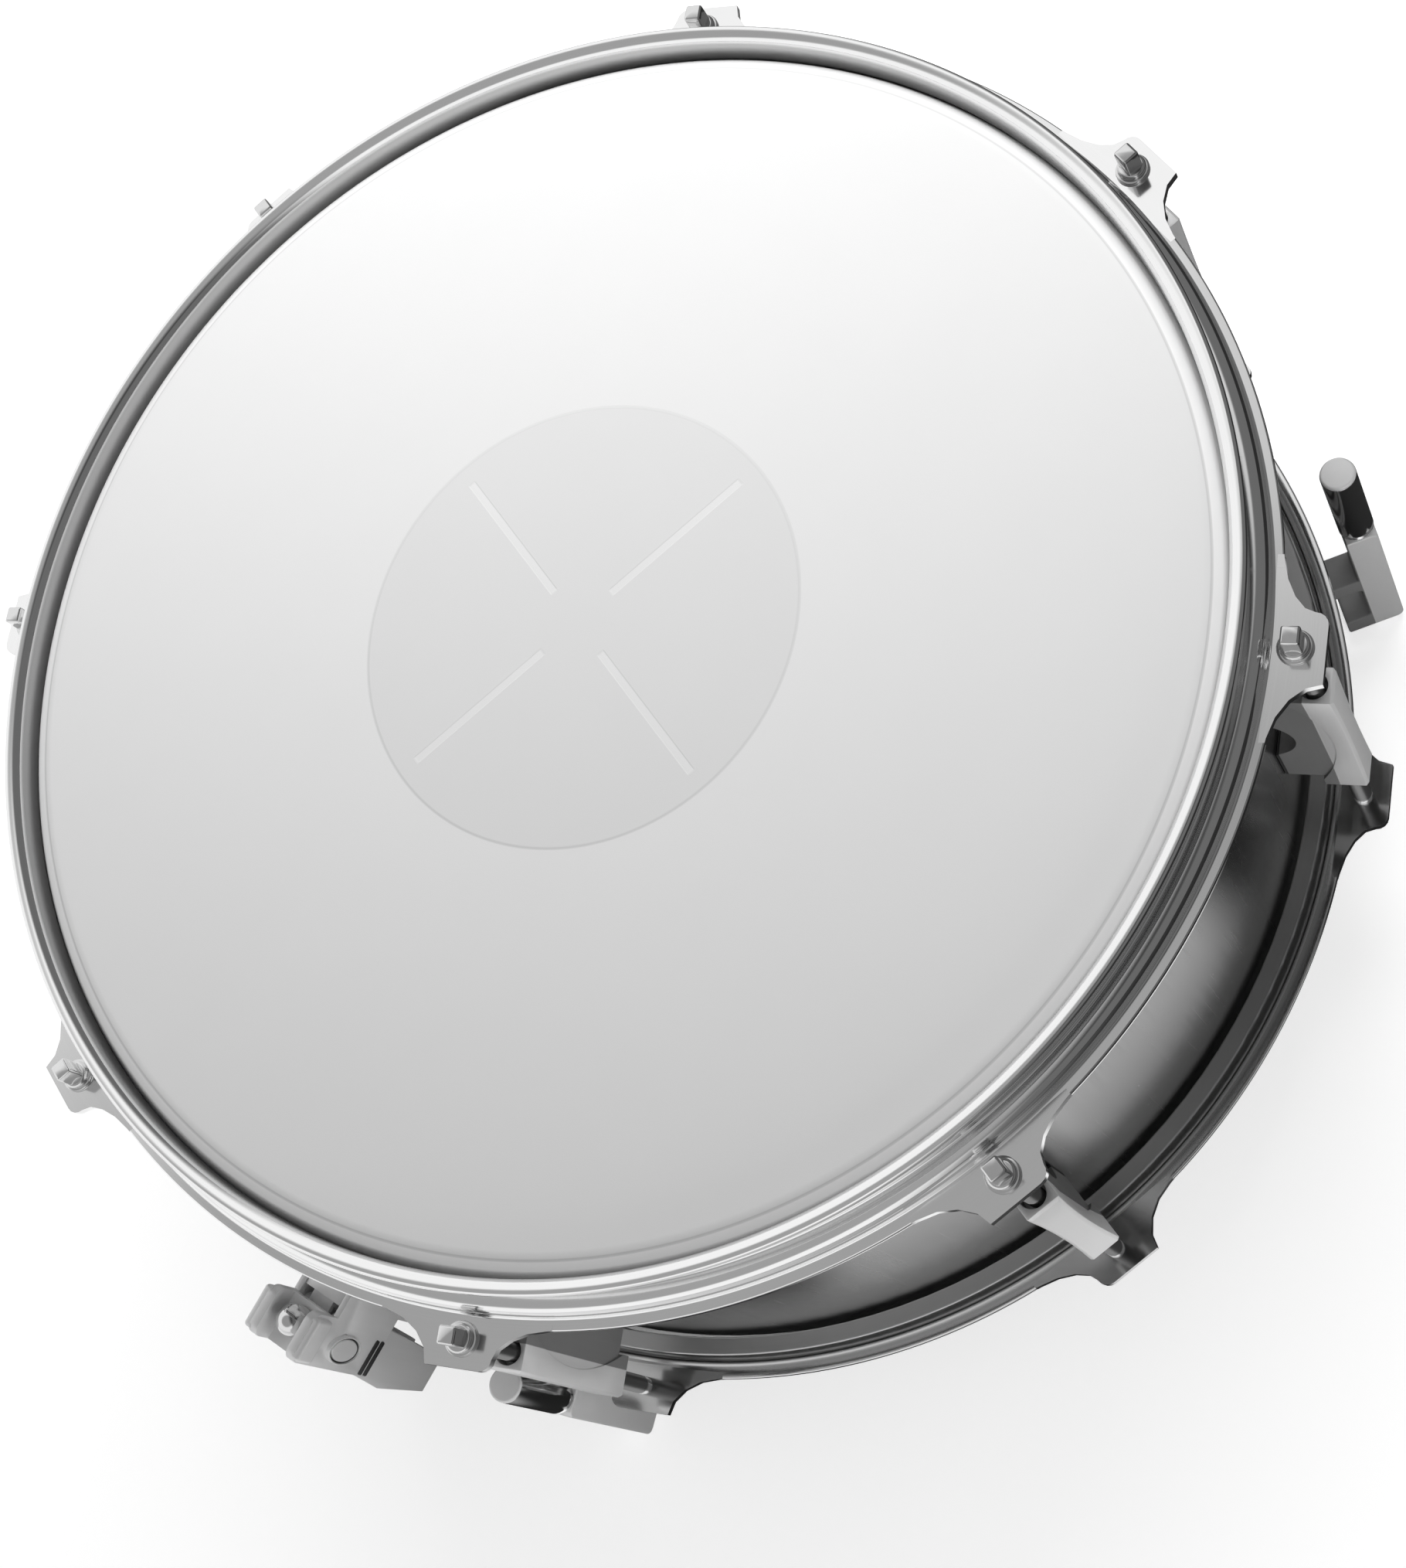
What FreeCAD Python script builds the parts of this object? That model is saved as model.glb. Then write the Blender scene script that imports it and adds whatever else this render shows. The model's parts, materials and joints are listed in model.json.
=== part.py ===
import FreeCAD, Part
import math
import os
import re
import Sketcher

# A 14 inch steel snare drum carrying a coated batter head with a reverse dot.
# Z is the drum axis with the batter head up, X runs along the snare wires
# with the strainer at -X, and the three cradle feet stand on z = 0.

SIZES = {
    # shell
    "shell_radius": 177.0,
    "shell_wall": 1.2,
    "shell_depth": 140.0,
    "edge_rise": 4.0,
    "bed_depth": 0.8,
    "bed_half": 30.0,
    "vent_radius": 4.7,
    "vent_flange": 3.0,
    "vent_inner_flange": 2.0,
    "vent_wall": 1.1,
    # heads
    "film_thick": 0.25,
    "film_gap": 0.05,
    "dot_radius": 65.0,
    "dot_thick": 0.25,
    "slit_width": 2.2,
    "slit_near": 12.5,
    "slit_margin": 6.0,
    "flesh_gap": 1.6,
    "flesh_width": 5.3,
    "flesh_height": 8.0,
    "flesh_wall": 1.0,
    "flesh_step": 3.0,
    "hem_inset": 2.0,
    "hem_depth": 2.5,
    "resin_height": 3.6,
    "resin_gap": 0.05,
    # hoops
    "lip_height": 6.5,
    "hoop_sheet": 2.3,
    "hoop_bend": 1.0,
    "lip_bend": 1.1,
    "hoop_clear": 2.2,
    "lip_reach": 4.8,
    "shelf_drop": 10.5,
    "ear_drop": 16.5,
    "lower_gap": 1.1,
    "flange_reach": 3.2,
    "ear_reach": 11.0,
    "ear_half": 6.5,
    "ear_corner": 3.0,
    "ear_root": 25.0,
    "ear_flare": 17.0,
    "gate_half": 24.0,
    # tension rods
    "rod_reach": 3.5,
    "rod_radius": 2.7,
    "rod_entry": 14.0,
    "rod_clear": 0.9,
    "washer_radius": 4.7,
    "washer_thick": 1.0,
    "collar_radius": 4.0,
    "collar_height": 1.6,
    "key_side": 5.0,
    "key_height": 6.5,
    "run_gap": 0.05,
    # lugs
    "lug_count": 8.0,
    "lug_half": 33.5,
    "lug_cover": 5.5,
    "lug_back": 6.5,
    "lug_end_half": 5.0,
    "lug_waist": 0.9,
    "lug_foot_half": 3.9,
    "lug_foot_end": 29.0,
    "lug_arch_half": 12.0,
    "lug_arch_rise": 6.5,
    "lug_edge": 0.8,
    "lug_bow": 7.0,
    "lug_bow_half": 30.0,
    "lug_screw_at": 22.0,
    "gasket_thick": 0.8,
    "seat_gap": 0.1,
    "nut_radius": 3.8,
    "nut_length": 10.0,
    "nut_setback": 5.0,
    "bore_depth": 18.0,
    "screw_radius": 2.0,
    "screw_head": 4.0,
    "screw_head_high": 2.4,
    "screw_bite": 8.0,
    "pad_radius": 6.5,
    "pad_thick": 1.2,
    # strainer
    "base_half": 9.0,
    "base_plate": 4.0,
    "base_low": 48.0,
    "base_clear": 10.0,
    "base_high": 6.5,
    "cheek_wall": 2.0,
    "cheek_low": 25.0,
    "cheek_step": 22.0,
    "cheek_out": 41.5,
    "roll_low": 7.5,
    "roll_high": 18.5,
    "roll_in": 26.0,
    "roll_round": 3.5,
    "fork_half": 6.0,
    "fork_floor": 10.0,
    "rail_in": 7.0,
    "rail_wide": 2.5,
    "rail_high": 1.2,
    "pivot_out": 32.5,
    "pivot_drop": 2.0,
    "pivot_radius": 2.5,
    "pivot_cap": 6.0,
    "pivot_cap_high": 1.2,
    "lever_head": 8.0,
    "lever_gap": 0.4,
    "lever_wall": 2.0,
    "lever_web": 2.6,
    "lever_low": 67.0,
    "lever_tip_in": 31.0,
    "lever_tip_out": 43.0,
    "lever_belly_in": 27.5,
    "lever_belly_out": 45.0,
    "lever_belly_drop": 40.0,
    "crank_reach": 3.535,
    "crank_radius": 1.25,
    "slot_clear": 0.35,
    "prong": 1.8,
    "slide_gap": 0.3,
    "slide_low": 40.0,
    "slide_step": 24.0,
    "slide_high": 6.0,
    "slide_out": 23.0,
    "tongue_out": 29.6,
    "tongue_half": 3.9,
    "knob_radius": 4.8,
    "knob_high": 8.0,
    "knob_screw": 2.2,
    "knob_gap": 0.2,
    # snare wires, straps and butt
    "strap_at": 13.95,
    "strap_half": 6.0,
    "strap_thick": 0.4,
    "strap_gap": 0.05,
    "strap_top": 25.0,
    "strap_over": 1.7,
    "strap_bend_in": 9.5,
    "strap_bend_drop": 0.8,
    "clamp_low": 38.0,
    "clamp_high": 26.0,
    "clamp_thick": 2.6,
    "clamp_half": 6.2,
    "clamp_screw_at": 3.6,
    "clamp_screw_radius": 1.4,
    "clamp_screw_head": 2.5,
    "clamp_screw_high": 1.8,
    "butt_half": 10.0,
    "butt_low": 46.0,
    "butt_high": 18.0,
    "mount_screw_low": 36.0,
    "mount_screw_high": 22.0,
    "mount_screw_top": 1.0,
    "mount_bite": 3.2,
    "wire_count": 20.0,
    "wire_radius": 0.9,
    "wire_pitch": 2.1,
    "wire_inset": 25.0,
    "wire_gap": 0.15,
    "plate_long": 16.0,
    "plate_half": 22.0,
    "plate_thick": 0.8,
    "plate_lap": 8.0,
    # cradle feet
    "foot_drop": 35.2,
    "foot_half": 5.5,
    "foot_out": 30.6,
    "foot_clear": 7.3,
    "foot_rise": 8.5,
    "jaw_in": 1.5,
    "jaw_thick": 7.0,
    "toe_in": 8.0,
    "toe_high": 8.0,
    "sleeve_radius": 5.2,
    "sleeve_long": 36.3,
    "post_radius": 3.0,
    "post_in": 4.0,
}

TURN = 360.0
HALF_TURN = 180.0
QUARTER = 90.0
LUGS = int(SIZES["lug_count"])
STEP = TURN / LUGS
LUG_ANGLES = [STEP / 2 + STEP * k for k in range(LUGS)]
FOOT_ANGLES = [-44.0, 76.0, 196.0]
SLIT_ANGLES = [LUG_ANGLES[1] + QUARTER * k for k in range(4)]
SLIT_ROUND_SHARE = 0.500001
HEAD_ROUND_SHARE = 0.95
SIDE_FOOT = FOOT_ANGLES[1]
SIDE_EAR = LUG_ANGLES[0]

RULES = {
    "half_depth": "shell_depth / 2",
    "edge_radius": "shell_radius - edge_rise",
    "film_low": "half_depth + film_gap",
    "film_top": "film_low + film_thick",
    "lip_top": "film_top + lip_height",
    "mid_height": "lip_top + foot_drop",
    "strainer_reach": "shell_radius + lever_belly_out",
    "butt_reach": "strap_x + strap_thick + strap_gap + clamp_thick + clamp_screw_high",
    "foot_reach": f"(shell_radius + foot_out) * sin({SIDE_FOOT}) + foot_half * cos({SIDE_FOOT})",
    "ear_side": f"ear_out * cos({SIDE_EAR}) + ear_half * sin({SIDE_EAR})",
    "axis_x": "(strainer_reach - butt_reach) / 2",
    "axis_y": "(ear_side - foot_reach) / 2",
    "bend_out": "hoop_bend + hoop_sheet",
    "wall_in": "shell_radius + hoop_clear",
    "wall_out": "wall_in + hoop_sheet",
    "lip_out": "wall_in + lip_reach",
    "shelf_top": "lip_top - shelf_drop",
    "shelf_low": "shelf_top - hoop_sheet",
    "ear_top": "lip_top - ear_drop",
    "ear_low": "ear_top - hoop_sheet",
    "flesh_in": "shell_radius + flesh_gap",
    "flesh_out": "flesh_in + flesh_width",
    "flesh_low": "shelf_low - flesh_height",
    "hem_radius": "flesh_in + hem_inset",
    "hem_low": "flesh_low + hem_depth",
    "lower_in": "flesh_out + lower_gap",
    "lower_out": "lower_in + hoop_sheet",
    "flange_out": "lower_out + flange_reach",
    "ear_out": "flange_out + ear_reach",
    "rod_circle": "flange_out + rod_reach",
    "rod_length": "ear_top + washer_thick - lug_half + rod_entry",
    "fitting_level": "base_low + base_clear - ear_low",
    "foot_top": "ear_low - foot_rise",
    "sleeve_top": "foot_top - sleeve_long",
    "strap_turn": "ear_top + strap_over",
    "wire_half": "shell_radius - wire_inset",
    "slit_far": "dot_radius - slit_margin",
    "ear_start": "sqrt(flange_out ^ 2 - ear_root ^ 2) - run_gap",
    "lug_in": "rod_circle - lug_back",
    "lug_out": "rod_circle + lug_cover",
    "gasket_in": "shell_radius + seat_gap",
    "foot_in": "gasket_in + gasket_thick",
    "pad_out": "shell_radius - shell_wall - seat_gap * 2",
    "pad_in": "pad_out - pad_thick",
    "pivot_x": "shell_radius + pivot_out",
    "base_in": "shell_radius + run_gap",
    "plate_out": "shell_radius + base_plate",
    "cheek_in": "base_half - cheek_wall",
    "strap_x": "shell_radius + strap_at",
    "wire_z": "film_top + wire_gap + wire_radius",
    "plate_z": "wire_z + wire_radius + run_gap",
    "strap_z": "plate_z + plate_thick + run_gap",
    "lever_half": "cheek_in - lever_gap",
    "lever_in": "lever_half - lever_wall",
    "crank_x": "pivot_x - crank_reach",
    "crank_z": "crank_reach - pivot_drop",
}

WORD = re.compile(r"[a-z_]+")
Z_AXIS = FreeCAD.Vector(0, 0, 1)
Y_AXIS = FreeCAD.Vector(0, 1, 0)
X_AXIS = FreeCAD.Vector(1, 0, 0)
CENTRE = {"x": "axis_x", "y": "axis_y", "z": "mid_height"}
FITTING = ("0", "0", "fitting_level")
FLAT_SHARE = 1e-9
NEAR = 1e-4

doc = FreeCAD.newDocument("snare_drum")
sheet = doc.addObject("Spreadsheet::Sheet", "dims")
for row, (alias, size) in enumerate(SIZES.items(), 1):
    sheet.set(f"A{row}", alias)
    sheet.set(f"B{row}", str(size))
    sheet.setAlias(f"B{row}", alias)
doc.recompute()

STRAINER = HALF_TURN
BUTT = 0.0
VENT = QUARTER
BRACKET_HOLES = [
    (BUTT, "fitting_level - mount_screw_low"), (BUTT, "fitting_level - mount_screw_high"),
    (STRAINER, "fitting_level - mount_screw_low"), (STRAINER, "fitting_level - mount_screw_top")]
nodes = {}


def rule(text):
    """Spell a size rule out in the names of the sheet."""
    def spell(found):
        word = found.group(0)
        if word in RULES:
            return "(" + rule(RULES[word]) + ")"
        return "dims." + word if word in SIZES else word
    return WORD.sub(spell, text)


def size(text):
    """Read a size rule as a number."""
    return float(sheet.evalExpression(rule(text)))


def bind(item, path, text):
    item.setExpression(path, rule(text))


def turned(angle, flip=False):
    """Turn about the drum axis, upside down for the snare side."""
    turn = FreeCAD.Rotation(Z_AXIS, angle)
    return turn.multiply(FreeCAD.Rotation(X_AXIS, HALF_TURN)) if flip else turn


def seat(item, angle=0.0, flip=False, spin=None, at=("0", "0", "0")):
    """Place an item by a point at(x, y, z) of the turned frame at mid-depth."""
    turn = turned(angle, flip)
    whole = turn.multiply(spin) if spin else turn
    item.Placement = FreeCAD.Placement(FreeCAD.Vector(0, 0, 0), whole)
    for path, axis in (("x", X_AXIS), ("y", Y_AXIS), ("z", Z_AXIS)):
        terms = []
        for text, unit in zip(at, (X_AXIS, Y_AXIS, Z_AXIS)):
            part_share = turn.multVec(unit).dot(axis)
            if text != "0" and abs(part_share) > FLAT_SHARE:
                terms.append(f"({text}) * {part_share:.12f}")
        terms.append(CENTRE[path])
        bind(item, "Placement.Base." + path, " + ".join(terms))
    return item


def keep(item, name):
    item.Label = name
    nodes[name] = item
    return item


def new_body(name, angle=0.0, flip=False, at=("0", "0", "0")):
    body = doc.addObject("PartDesign::Body", "body_" + name)
    seat(body, angle, flip, None, at)
    return keep(body, name)


def origin_part(body, role):
    return next(o for o in body.Origin.OriginFeatures if o.Role == role)


def corner_points(points):
    """List each outline's start points and the arc that follows, if any."""
    numbers = [(size(p[0]), size(p[1])) for p in points]
    count = len(points)
    spots = []
    for i, point in enumerate(points):
        how = point[2] if len(point) > 2 else None
        if how != "round":
            arc = point[3] if how == "arc" else None
            spots.append((point[0], point[1], arc))
            continue
        legs = []
        for other in (numbers[i - 1], numbers[(i + 1) % count]):
            dx = other[0] - numbers[i][0]
            dy = other[1] - numbers[i][1]
            along_x = abs(dx) > abs(dy)
            sign = "+" if (dx if along_x else dy) > 0 else "-"
            moved = f"{{}} {sign} ({point[3]})"
            x = moved.format(point[0]) if along_x else point[0]
            y = point[1] if along_x else moved.format(point[1])
            legs.append((x, y))
        before, here, after = numbers[i - 1], numbers[i], numbers[(i + 1) % count]
        a = (here[0] - before[0], here[1] - before[1])
        b = (after[0] - here[0], after[1] - here[1])
        left = a[0] * b[1] - a[1] * b[0] > 0
        spots.append((*legs[0], point[3] if left else f"-({point[3]})"))
        spots.append((*legs[1], None))
    return spots


def arc_between(p, q, radius):
    """Make an arc from p to q, curving left about its centre if radius is above 0."""
    mid = (p + q) / 2
    chord = q - p
    rise = math.sqrt(max(radius * radius - chord.Length ** 2 / 4, 0))
    side = FreeCAD.Vector(-chord.y, chord.x, 0).normalize() * math.copysign(rise, radius)
    centre = mid + side
    circle = Part.Circle(centre, Z_AXIS, abs(radius))
    first, last = (p, q) if radius > 0 else (q, p)
    start = math.atan2(first.y - centre.y, first.x - centre.x)
    end = math.atan2(last.y - centre.y, last.x - centre.x)
    if end <= start:
        end += math.tau
    return Part.ArcOfCircle(circle, start, end)


def fix_point(rules, links, geo, spot, x, y):
    for text, kind, axis in ((x, "DistanceX", -2), (y, "DistanceY", -1)):
        if text == "0":
            links.append(Sketcher.Constraint("PointOnObject", geo, spot, axis))
        else:
            rules[len(links)] = text
            links.append(Sketcher.Constraint(kind, -1, 1, geo, spot, size(text)))


def new_sketch(body, name, plane, outlines=(), circles=(), lift=None, angle=0.0):
    """Draw closed outlines and circles on an origin plane of the body."""
    sketch = body.newObject("Sketcher::SketchObject", body.Label + "_" + name)
    sketch.AttachmentSupport = [(origin_part(body, plane), "")]
    sketch.MapMode = "FlatFace"
    sketch.AttachmentOffset = FreeCAD.Placement(
        FreeCAD.Vector(0, 0, 0), FreeCAD.Rotation(Z_AXIS, angle))
    if lift:
        bind(sketch, "AttachmentOffset.Base.z", lift)
    links = []
    rules = {}
    for points in outlines:
        spots = corner_points(points)
        places = [FreeCAD.Vector(size(s[0]), size(s[1]), 0) for s in spots]
        first = sketch.GeometryCount
        ends = []
        for i, spot in enumerate(spots):
            p, q = places[i], places[(i + 1) % len(spots)]
            if spot[2] is None:
                sketch.addGeometry(Part.LineSegment(p, q))
                ends.append((1, 2))
            else:
                radius = size(spot[2])
                sketch.addGeometry(arc_between(p, q, radius))
                ends.append((1, 2) if radius > 0 else (2, 1))
        for i, spot in enumerate(spots):
            j = (i + 1) % len(spots)
            links.append(Sketcher.Constraint("Coincident", first + i, ends[i][1], first + j, ends[j][0]))
            fix_point(rules, links, first + i, ends[i][0], spot[0], spot[1])
            if spot[2] is not None:
                rules[len(links)] = f"abs({spot[2]})"
                links.append(Sketcher.Constraint("Radius", first + i, abs(size(spot[2]))))
    for x, y, radius in circles:
        geo = sketch.GeometryCount
        sketch.addGeometry(Part.Circle(FreeCAD.Vector(size(x), size(y), 0), Z_AXIS, size(radius)))
        fix_point(rules, links, geo, 3, x, y)
        rules[len(links)] = radius
        links.append(Sketcher.Constraint("Radius", geo, size(radius)))
    sketch.addConstraint(links)
    for index, text in rules.items():
        bind(sketch, f"Constraints[{index}]", text)
    sketch.Visibility = False
    return sketch


def extrude(body, kind, sketch, length=None, both=False, back=False):
    """Pad or pocket a sketch by a length, or pocket it through all."""
    feature = body.newObject("PartDesign::" + kind, f"{sketch.Name}_{kind}")
    feature.Profile = sketch
    if both:
        feature.SideType = "Symmetric"
    if length is None:
        feature.Type = "ThroughAll"
    else:
        bind(feature, "Length", length)
    feature.Reversed = back
    body.Tip = feature
    return feature


def revolve(body, sketch):
    feature = body.newObject("PartDesign::Revolution", sketch.Name + "_turn")
    feature.Profile = sketch
    feature.ReferenceAxis = (sketch, ["V_Axis"])
    feature.Angle = TURN
    body.Tip = feature
    return feature


def ring_of(body, features, count):
    pattern = body.newObject("PartDesign::PolarPattern", body.Name + "_ring" + str(len(body.Group)))
    pattern.Originals = features
    pattern.Axis = (origin_part(body, "Z_Axis"), [""])
    pattern.Angle = TURN
    pattern.Occurrences = count
    body.Tip = pattern
    return pattern


def mirror(body, features, plane):
    twin = body.newObject("PartDesign::Mirrored", body.Name + "_twin" + str(len(body.Group)))
    twin.Originals = features
    twin.MirrorPlane = (origin_part(body, plane), [""])
    body.Tip = twin
    return twin


def box(x0, x1, y0, y1):
    """Outline of a rectangle between two corners."""
    return [(x0, y0), (x1, y0), (x1, y1), (x0, y1)]


def turned_part(name, points, flip=False):
    body = new_body(name, 0.0, flip)
    revolve(body, new_sketch(body, "section", "XZ_Plane", [points]))
    return body


AIM_OUT = FreeCAD.Rotation(Y_AXIS, QUARTER)
AIM_SIDE = FreeCAD.Rotation(X_AXIS, -QUARTER)


def rod(radius, length, angle, at, flip=False, spin=None):
    """Add a cylinder that starts at a point of the turned frame."""
    item = doc.addObject("Part::Cylinder", "rod")
    bind(item, "Radius", radius)
    bind(item, "Height", length)
    return seat(item, angle, flip, spin, at)


def block(x0, x1, half, z0, z1, angle, flip=False):
    """Add a box between radii x0 and x1 and heights z0 and z1."""
    item = doc.addObject("Part::Box", "block")
    bind(item, "Length", f"({x1}) - ({x0})")
    bind(item, "Width", f"2 * ({half})")
    bind(item, "Height", f"({z1}) - ({z0})")
    return seat(item, angle, flip, None, (x0, f"-({half})", z0))


def join(items):
    whole = doc.addObject("Part::MultiFuse", "join")
    whole.Shapes = items
    return whole


def cut(base, tool):
    rest = doc.addObject("Part::Cut", "cut")
    rest.Base = base
    rest.Tool = tool
    return rest


def group(name, items):
    together = doc.addObject("Part::Compound", "group_" + name)
    together.Links = items
    return keep(together, name)


def build_shell():
    body = new_body("shell")
    slant = f"shell_wall * {math.sqrt(2):.9f}"
    inner = "shell_radius - shell_wall"
    land = f"edge_radius - {slant}"
    section = [
        ("shell_radius", "edge_rise - half_depth"), ("shell_radius", "half_depth - edge_rise"),
        ("edge_radius", "half_depth"), (land, "half_depth"),
        (inner, f"half_depth + ({land}) - ({inner})"), (inner, f"({inner}) - ({land}) - half_depth"),
        (land, "-half_depth"), ("edge_radius", "-half_depth"),
    ]
    revolve(body, new_sketch(body, "section", "XZ_Plane", [section]))
    bore = "screw_radius + run_gap"
    holes = new_sketch(body, "lug_holes", "YZ_Plane", (), [
        ("0", "lug_screw_at", bore), ("0", "-lug_screw_at", bore)])
    holes.AttachmentOffset = FreeCAD.Placement(
        FreeCAD.Vector(0, 0, 0), FreeCAD.Rotation(Y_AXIS, STEP / 2))
    ring_of(body, [extrude(body, "Pocket", holes)], LUGS)
    vent = new_sketch(body, "vent", "XZ_Plane", (), [("0", "0", "vent_radius")])
    extrude(body, "Pocket", vent)
    mounts = new_sketch(body, "mounts", "YZ_Plane", (), [
        ("0", "fitting_level - mount_screw_low", bore),
        ("0", "fitting_level - mount_screw_high", bore)])
    extrude(body, "Pocket", mounts, back=True)
    throw = new_sketch(body, "throw_mounts", "YZ_Plane", (), [
        ("0", "fitting_level - mount_screw_low", bore),
        ("0", "fitting_level - mount_screw_top", bore)])
    extrude(body, "Pocket", throw)
    beds = new_sketch(body, "beds", "YZ_Plane", [
        [("-bed_half", "-half_depth"), ("bed_half", "-half_depth", "arc",
          "(bed_half ^ 2 + bed_depth ^ 2) / (2 * bed_depth)")]])
    extrude(body, "Pocket", beds, both=True)
    return body


def build_vent():
    face = ("shell_radius + run_gap", "0", "0")
    outer = rod("vent_radius + vent_flange", "pad_thick", VENT, face, False, AIM_OUT)
    back = ("pad_in", "0", "0")
    inner = rod("vent_radius + vent_inner_flange", "pad_thick", VENT, back, False, AIM_OUT)
    long = "shell_radius + run_gap - pad_in"
    sleeve = rod("vent_radius - run_gap", long, VENT, back, False, AIM_OUT)
    start = ("pad_in - pad_thick", "0", "0")
    bore = rod("vent_radius - vent_wall", "shell_radius", VENT, start, False, AIM_OUT)
    keep(cut(join([outer, inner, sleeve]), bore), "vent_grommet")


def build_head(side, flip):
    """Film with its collar, the channel hoop that holds it, and the resin between."""
    run = "hem_radius - edge_radius"
    turned_part(side + "_film", [
        ("0", "film_low"), ("edge_radius", "film_low"),
        ("hem_radius", f"film_low - ({run})"), ("hem_radius", "hem_low"),
        ("hem_radius + film_thick", "hem_low"), ("hem_radius + film_thick", f"film_low - ({run})"),
        ("edge_radius + film_thick / 2", "film_top"), ("0", "film_top")], flip)
    turned_part(side + "_flesh_hoop", [
        ("flesh_in", "flesh_low", "round", "flesh_wall / 2"),
        ("flesh_out", "flesh_low", "round", "flesh_wall / 2"), ("flesh_out", "shelf_low"),
        ("flesh_out - flesh_wall", "shelf_low"), ("flesh_out - flesh_wall", "flesh_low + flesh_wall"),
        ("flesh_in + flesh_wall", "flesh_low + flesh_wall"),
        ("flesh_in + flesh_wall", "shelf_low - flesh_step"),
        ("flesh_in", "shelf_low - flesh_step")], flip)
    fill = "flesh_low + flesh_wall + resin_height"
    turned_part(side + "_resin", [
        ("flesh_in + flesh_wall + resin_gap", "flesh_low + flesh_wall"),
        ("flesh_out - flesh_wall - resin_gap", "flesh_low + flesh_wall"),
        ("flesh_out - flesh_wall - resin_gap", fill),
        ("hem_radius + film_thick + resin_gap", fill),
        ("hem_radius + film_thick + resin_gap", "hem_low - resin_gap"),
        ("hem_radius - resin_gap", "hem_low - resin_gap"),
        ("hem_radius - resin_gap", fill), ("flesh_in + flesh_wall + resin_gap", fill)], flip)


def build_dot():
    body = new_body("batter_dot")
    disc = new_sketch(body, "disc", "XY_Plane", (), [("0", "0", "dot_radius")], "film_low - dot_thick")
    extrude(body, "Pad", disc, "dot_thick")
    end = f"slit_width * {SLIT_ROUND_SHARE}"
    slit = new_sketch(body, "slit", "XY_Plane", [
        [("slit_near", "-slit_width / 2"), ("slit_far", "-slit_width / 2", "arc", end),
         ("slit_far", "slit_width / 2"), ("slit_near", "slit_width / 2", "arc", end)]],
        (), "film_low", SLIT_ANGLES[0])
    ring_of(body, [extrude(body, "Pocket", slit, "dot_thick")], len(SLIT_ANGLES))


def build_hoop(name, flip):
    """Triple flanged hoop: rolled lip, wall, shelf, lower wall and eared flange."""
    body = new_body(name, 0.0, flip)
    revolve(body, new_sketch(body, "section", "XZ_Plane", [[
        ("wall_in", "lip_top", "round", "bend_out"),
        ("wall_in", "shelf_low", "round", "bend_out"),
        ("lower_in", "shelf_low", "round", "hoop_bend"),
        ("lower_in", "ear_low", "round", "bend_out"),
        ("flange_out", "ear_low"), ("flange_out", "ear_top"),
        ("lower_out", "ear_top", "round", "hoop_bend"),
        ("lower_out", "shelf_top", "round", "bend_out"),
        ("wall_out", "shelf_top", "round", "hoop_bend"),
        ("wall_out", "lip_top - hoop_sheet", "round", "hoop_bend"),
        ("lip_out", "lip_top - hoop_sheet", "round", "lip_bend"),
        ("lip_out", "lip_top", "round", "lip_bend")]]))
    side = "ear_half + ear_corner"
    outline = [
        ("ear_start", "-ear_root", "arc", "-ear_flare"),
        ("flange_out + ear_reach / 2", f"-({side})"),
        ("ear_out - ear_corner", f"-({side})"), ("ear_out", "-ear_half"),
        ("ear_out", "ear_half"), ("ear_out - ear_corner", side),
        ("flange_out + ear_reach / 2", side, "arc", "-ear_flare"), ("ear_start", "ear_root")]
    ear = extrude(body, "Pad", new_sketch(body, "ear", "XY_Plane", [outline], (), "ear_low", STEP / 2),
                  "hoop_sheet")
    hole = new_sketch(body, "hole", "XY_Plane", (), [("rod_circle", "0", "rod_radius + rod_clear")],
                      "ear_top", STEP / 2)
    drill = extrude(body, "Pocket", hole, "hoop_sheet")
    ring_of(body, [ear, drill], LUGS)
    if flip:
        gate = new_sketch(body, "gates", "YZ_Plane", [
            box("-gate_half", "gate_half", "shelf_top + hoop_bend", "lip_top + lip_height")])
        extrude(body, "Pocket", gate, both=True)
    return body


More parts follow.
